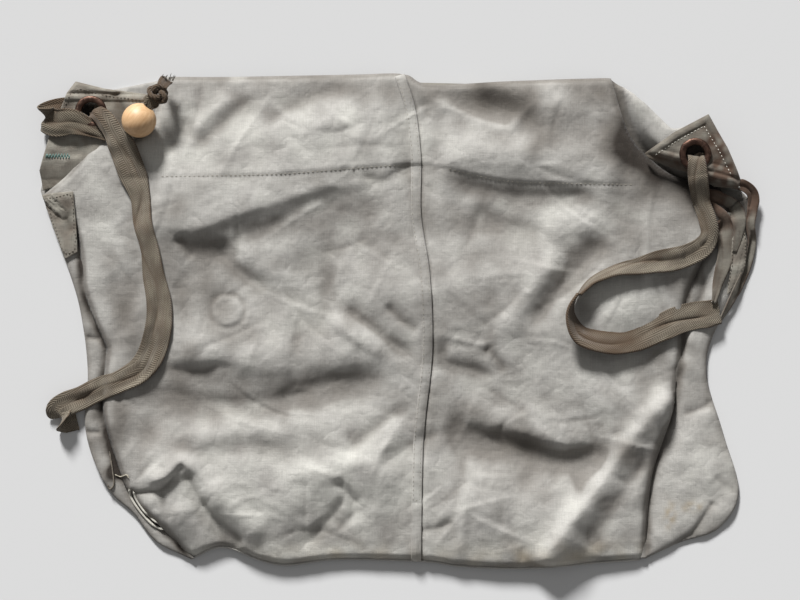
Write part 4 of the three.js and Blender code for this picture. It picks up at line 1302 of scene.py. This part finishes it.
def add_eyelets():
    for side, centre in (("left", LEFT_EYELET), ("right", RIGHT_EYELET)):
        top = float(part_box(f"{side}_eyelet_barrel")[1][2] / MM)
        middle = np.array([centre[0], centre[1], 0.0])
        barrel = lathe(f"{side}_eyelet_ring", eyelet_profile(top), middle, (0, 0, 1), 128, 0.10, 3)
        place(barrel, METAL_FINISH, "eyelet_metal", f"{side}_eyelet_barrel")
        low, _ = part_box(f"{side}_eyelet_washer")
        arc = np.linspace(0, 2 * np.pi, 14, endpoint=False)
        mid, half = (EYELET_RADIUS + EYELET_HOLE + 1.4) / 2, (EYELET_RADIUS - EYELET_HOLE - 1.4) / 2
        section = np.stack([mid + half * np.cos(arc), low[2] / MM + 0.2 + 0.6 * np.sin(arc)], -1)
        washer = lathe(f"{side}_eyelet_back_ring", section, middle, (0, 0, 1), 96, 0.06, 4)
        place(washer, METAL_FINISH, "eyelet_metal", f"{side}_eyelet_washer")


def add_bead():
    """The bead: a sphere with its bore drilled along the tape and a rounded lip at each end."""
    pole = np.arccos(BEAD_BORE / BEAD_RADIUS)
    angle = np.linspace(-pole * 0.985, pole * 0.985, 60)
    outer = np.stack([BEAD_RADIUS * np.cos(angle), BEAD_RADIUS * np.sin(angle)], -1)
    end = BEAD_RADIUS * np.sin(pole) - 0.9
    bore = np.stack([np.full(12, BEAD_BORE), np.linspace(end, -end, 12)], -1)
    bead = lathe("turned_bead", np.vstack([outer, bore]), BEAD_CENTRE, BEAD_AXIS, 128)
    place(bead, WOOD_FINISH, "bead_wood", "wooden_bead", body="bead")


def add_knot():
    """The knot that stops the bead: the twisted tape wound over itself as a trefoil, and its frayed tail."""
    centre = BEAD_CENTRE + KNOT_DISTANCE * BEAD_AXIS
    t = np.linspace(0, 2 * np.pi, 40, endpoint=False)
    reach = 4.2 + 1.9 * np.cos(3 * t)
    loop = np.stack([reach * np.cos(2 * t), reach * np.sin(2 * t), 2.2 * np.sin(3 * t)], -1)
    along = np.array([np.cos(BEAD_HEADING), np.sin(BEAD_HEADING), 0.0])
    sideways = np.array([-along[1], along[0], 0.0])
    path = centre + loop[:, :1] * along + 1.5 * loop[:, 1:2] * sideways + loop[:, 2:] * [0, 0, 1.6]
    path = np.vstack([path, path[:1]])
    tangent = np.gradient(path, axis=0)
    tangent /= np.linalg.norm(tangent, axis=1, keepdims=True)
    side = np.cross(tangent, (0.2, 0.1, 1.0))
    side /= np.linalg.norm(side, axis=1, keepdims=True)
    up = np.cross(side, tangent)
    angle = np.linspace(0, 2 * np.pi, 14, endpoint=False)
    section = 2.4 * np.cos(angle)[:, None] * side[:, None] + 1.8 * np.sin(angle)[:, None] * up[:, None]
    points = path[:, None] + section
    points = points + 0.25 * ripples(points[..., 0], points[..., 1] + 2 * points[..., 2], 12, 3)[..., None]
    index = np.arange(len(path) * 14).reshape(len(path), 14)
    faces = np.stack([index[:-1], np.roll(index, -1, 1)[:-1], np.roll(index, -1, 1)[1:], index[1:]], -1)
    steps_along, steps_round = np.repeat(np.arange(len(path)), 14), np.tile(np.arange(14), len(path))
    uv = np.stack([steps_along * 1.2, steps_round * 0.8], -1) * MM
    knot = mesh_object("tape_knot", points.reshape(-1, 3), faces.reshape(-1, 4), uv=uv,
                       attributes={"soil_and_shade": np.full(points.size // 3, 0.75)})
    place(knot, KNOT_FINISH, "olive_tape", "bead_tape_knot")
    start = BEAD_CENTRE + (KNOT_DISTANCE + 7) * BEAD_AXIS
    route = [
        (start[0], start[1], start[2], 8, 150, 0, 0),
        (start[0] + 1, start[1] + 3, start[2] - 3, 9, 150, 10, 0),
        (start[0] + 2, start[1] + 6, start[2] - 8, 10, 155, 20, 0),
        (start[0] + 3, start[1] + 8, start[2] - 13, 11, 160, 10, 0),
    ]
    tail, length = tape("frayed_tail", route, 14, columns=15, seed=31, dark=(-1, 2))
    thicken(place(tail, KNOT_FINISH, "olive_tape", "bead_tape_tail"), 1.0, 0.0)
    rng = np.random.default_rng(4)
    for number in range(16):
        base = np.array([start[0] - 3 + 0.8 * number, start[1] + 6, start[2] - 9])
        tip = base + [rng.uniform(-2, 6), rng.uniform(2, 8), rng.uniform(-3, 2)]
        mid = (base + tip) / 2 + rng.uniform(-1, 1, 3)
        strand(f"fray_{number}", [base, mid, tip], 0.28, KNOT_FINISH, "olive_tape")


# ---- facings, seam, hems and sewing ----
def add_facings():
    """The two facings inside the mouth, one under the front and one on the back."""
    outline = np.array([
        (-203, 214), (-208, 165), (-208, 134), (210, 134), (196, 170), (186, 212), (4, 216),
    ])

    def under_front(x, y):
        return np.maximum(front_height(x, y) - 4.6, 4.4)

    def over_back(x, y):
        return back_height(x, y) + 1.9

    for name, node, height in (
        ("front_facing_cloth", "front_mouth_facing", under_front),
        ("back_facing_cloth", "back_mouth_facing", over_back),
    ):
        piece = cloth(name, outline, height, spacing=4.0)
        thicken(place(piece, INNER_CANVAS, "canvas_inside", node), CANVAS)
        declare_cloth(outline)


def add_seams():
    strip = seam_strip("centre_seam_fold", CENTRE_LINE, 9.0, left_front_height, 0.15)
    thicken(place(strip, CANVAS_FINISH, "canvas", "centre_seam_strip"), 1.0)
    v = np.linspace(0, 1, 11)
    line = between(BOTTOM_EDGE, -188, 223)
    lower = back_height(line[:, 0], line[:, 1]) - 0.2
    on_left, on_right = left_front_height(*line.T), right_front_height(*line.T)
    upper = np.where(line[:, 0] < 20, on_left, on_right)
    x = line[:, :1] + 0 * v
    y = line[:, 1:] - 1.2 * np.sin(np.pi * v)
    z = lower[:, None] + (upper - lower)[:, None] * v
    points = np.stack([x, y, z], -1).reshape(-1, 3)
    fold_piece = mesh_object("bottom_fold", points, ribbon(points, 11), uv=points[:, [0, 2]] * MM,
                             attributes={"relief": np.zeros(len(points)), "soil_and_shade": np.full(len(points), 0.0)})
    thicken(place(fold_piece, CANVAS_FINISH, "canvas", "bottom_strip"), 1.0, 0.0)
    both = np.vstack([CENTRE_LINE[:-6] + [-1.8, 0], CENTRE_LINE[:-6][::-1] + [-7.8, 0]])
    stitches("centre_seam_sewing", both, lambda x, y: left_front_height(x, y) + 1.1, CANVAS_THREAD, "thread",
             "centre_seam_stitching", radius=0.34)
    left_row, right_row = smooth(FACING_LINE[:4], 8), smooth(FACING_LINE[4:], 8)
    rows = (("left", left_row, left_front_height), ("right", right_row, right_front_height))
    for side, row, height in rows:
        stitches(f"{side}_facing_sewing", row, height, CANVAS_THREAD, "thread", f"{side}_facing_stitching",
                 radius=0.3)


def add_flap_sewing():
    left_row = [(-306, 186), (-296, 206), (-288, 209.5), (-264, 203.5), (-232, 199)]
    stitches("left_flap_sewing", left_row, left_flap_height, DARK_THREAD, "thread", "left_flap_stitching",
             length=2.2, gap=1.2)
    right_row = [(230, 149), (250, 162), (274, 175), (288, 152), (299, 130)]
    stitches("right_flap_sewing", right_row, right_flap_height, SELVEDGE_THREAD, "thread",
             "right_flap_stitching", length=2.2, gap=1.2)
    zigzag = [(-319 + 1.3 * k, 149 + (2.4 if k % 2 else -2.4)) for k in range(18)]
    stitches("bar_tack", zigzag, left_flap_height, GREEN_THREAD, "green_thread", "left_flap_bar_tack",
             length=4.6, gap=0.3, radius=0.6)


def laid(points, lift):
    """Points of a line laid on the uppermost cloth, or on the floor, with a lift."""
    line = smooth(points, 8)
    z = top_height(line[:, 0], line[:, 1]) + lift
    return np.column_stack([line, z])[::3]


def add_selvedge():
    """The two pale selvedges and the loose thread where the lower left corner has come open."""
    outer = [(-244, -152), (-242, -161), (-233, -174), (-222, -185), (-210, -190)]
    inner = [(-240, -154), (-237, -163), (-228, -175), (-218, -183)]
    strand("outer_selvedge", laid(outer, 1.2), 1.1, SELVEDGE_THREAD, "thread")
    strand("inner_selvedge", laid(inner, 1.4), 0.9, SELVEDGE_THREAD, "thread")
    strand("corner_thread", laid([(-257, -139), (-252, -141), (-246, -139), (-244, -142)], 0.9), 0.5,
           THREAD_FINISH, "thread")
    curl = [(-262, -118), (-259, -136), (-258, -148), (-262, -152), (-264, -146)]
    strand("seam_curl", laid(curl, 1.0), 0.7, DARK_THREAD, "thread")


RIGHT_HEMS = {
    "right_rim_fold": (10.5, 51, [
        (298, 122, 10, 3, 80, 0, 0), (312, 122, 11, 10, 70, 0, 0), (320, 114, 9, 10, 20, 0, 0),
        (319, 100, 2.2, 8, 0, 0, 1), (317, 86, 2.0, 7, 0, 0, 1), (319, 70, 2.0, 7, 0, 0, 1),
        (314, 48, 2.0, 7, 10, 0, 1), (303, 24, 2.0, 6, 20, 0, 1), (290, 0, 1.2, 2, 20, 0, 1),
    ]),
    "right_twisted_fold": (16, 53, [
        (272, 116, 12, 4, 70, 20, 0), (288, 110, 11, 15, 60, 30, 0), (302, 102, 6.0, 15, 40, 10, 0.5),
        (307, 88, 2.6, 12, 20, -10, 1), (303, 62, 1.4, 3, 0, 0, 1),
    ]),
    "right_inner_fold": (15, 55, [
        (282, 106, 7, 4, 40, 10, 0.2), (294, 88, 3.0, 14, 12, 0, 1), (295, 66, 2.4, 14, 8, 0, 1),
        (290, 44, 2.0, 11, 14, 0, 1), (284, 16, 1.0, 3, 10, 0, 1),
    ]),
}


def add_right_hems():
    """The rolled and twisted hems where the right flap runs into the side of the sack."""
    for name, (width, seed, route) in RIGHT_HEMS.items():
        strip, length = tape(name, route, width, columns=17, seed=seed, over_flaps=False, dark=(-0.2, 0.3))
        thicken(place(strip, HEM_CANVAS, "canvas"), 1.2, 0.0)


LEFT_PATCH = np.array([
    (-323, 114), (-309, 116), (-294, 117), (-292, 88), (-291, 62), (-302, 56), (-313, 84),
])
RIGHT_PATCH = np.array([
    (298, 98), (310, 97), (315, 72), (314, 50), (306, 30), (297, 24), (300, 48), (301, 72),
])


def add_patches():
    """The two side patches, sewn over the side folds, with their untidy rows of thread."""
    for side, outline in (("left", LEFT_PATCH), ("right", RIGHT_PATCH)):
        def height(x, y):
            offsets = [(0, 0), (5, 0), (-5, 0), (0, 6), (0, -6)]
            ground = np.array([top_height(x + dx, y + dy, False) for dx, dy in offsets])
            return 0.5 * ground.max(0) + 0.5 * ground.mean(0) + 2.2 + 0.25 * ripples(x, y, 41, 14)
        piece = cloth(f"{side}_patch_cloth", outline, height, spacing=1.0, stains=patch_soil)
        thicken(place(piece, FLAP_CANVAS, "canvas", f"{side}_side_patch"), 1.0)
        declare_cloth(outline)
        centre = outline.mean(0)
        row = np.vstack([outline, outline[:1]])
        row = centre + (row - centre) * 0.84
        row = smooth(row, 4)
        row = row + 0.5 * np.stack([ripples(*row.T, 43, 9), ripples(*row.T, 44, 9)], -1)
        stitches(f"{side}_patch_sewing", row, height, DARK_THREAD, "thread", f"{side}_patch_stitching",
                 length=2.4, gap=0.9, radius=0.4)


def patch_soil(x, y):
    """Even brown soiling."""
    return np.clip(0.22 + 0.15 * ripples(x, y, 45, 16), 0, 0.5)


add_front()
add_back()
add_gussets()
add_flaps()
add_facings()
add_seams()
add_flap_sewing()
add_patches()
add_right_hems()
add_selvedge()
add_tapes()
add_eyelets()
add_bead()
add_knot()


# ---- stage and light ----
def add_stage():
    """A plain pale floor under the sack."""
    corners = np.array([(-1, -1), (1, -1), (1, 1), (-1, 1)]) * FLOOR_SIZE
    points = np.column_stack([corners, np.zeros(4)])
    floor = mesh_object("floor", points, [[0, 1, 2, 3]])
    n = Nodes("pale_floor")
    n.set("Base Color", (FLOOR_SHADE, FLOOR_SHADE, FLOOR_SHADE, 1))
    n.set("Roughness", 0.9)
    n.set("Specular IOR Level", 0.1)
    floor.data.materials.append(n.material)


def add_sun(name, heading, elevation, softness, strength):
    """A soft far light: heading is the compass angle it comes from, anticlockwise from +X."""
    data = bpy.data.lights.new(name, "SUN")
    data.angle = np.radians(softness)
    data.energy = strength
    light = bpy.data.objects.new(name, data)
    light.rotation_euler = (0, np.radians(90 - elevation), np.radians(heading))
    bpy.context.scene.collection.objects.link(light)


def add_lights():
    """One soft window from the mouth side, and an even pale sky."""
    add_sun("window", 106, 27, 12, SUN_STRENGTH)
    world = bpy.data.worlds.new("sky")
    bpy.context.scene.world = world
    world.use_nodes = True
    world.node_tree.nodes["Background"].inputs[0].default_value = (1, 1, 1, 1)
    world.node_tree.nodes["Background"].inputs[1].default_value = SKY_STRENGTH
    bpy.context.scene.view_settings.view_transform = "Standard"


add_stage()
add_lights()
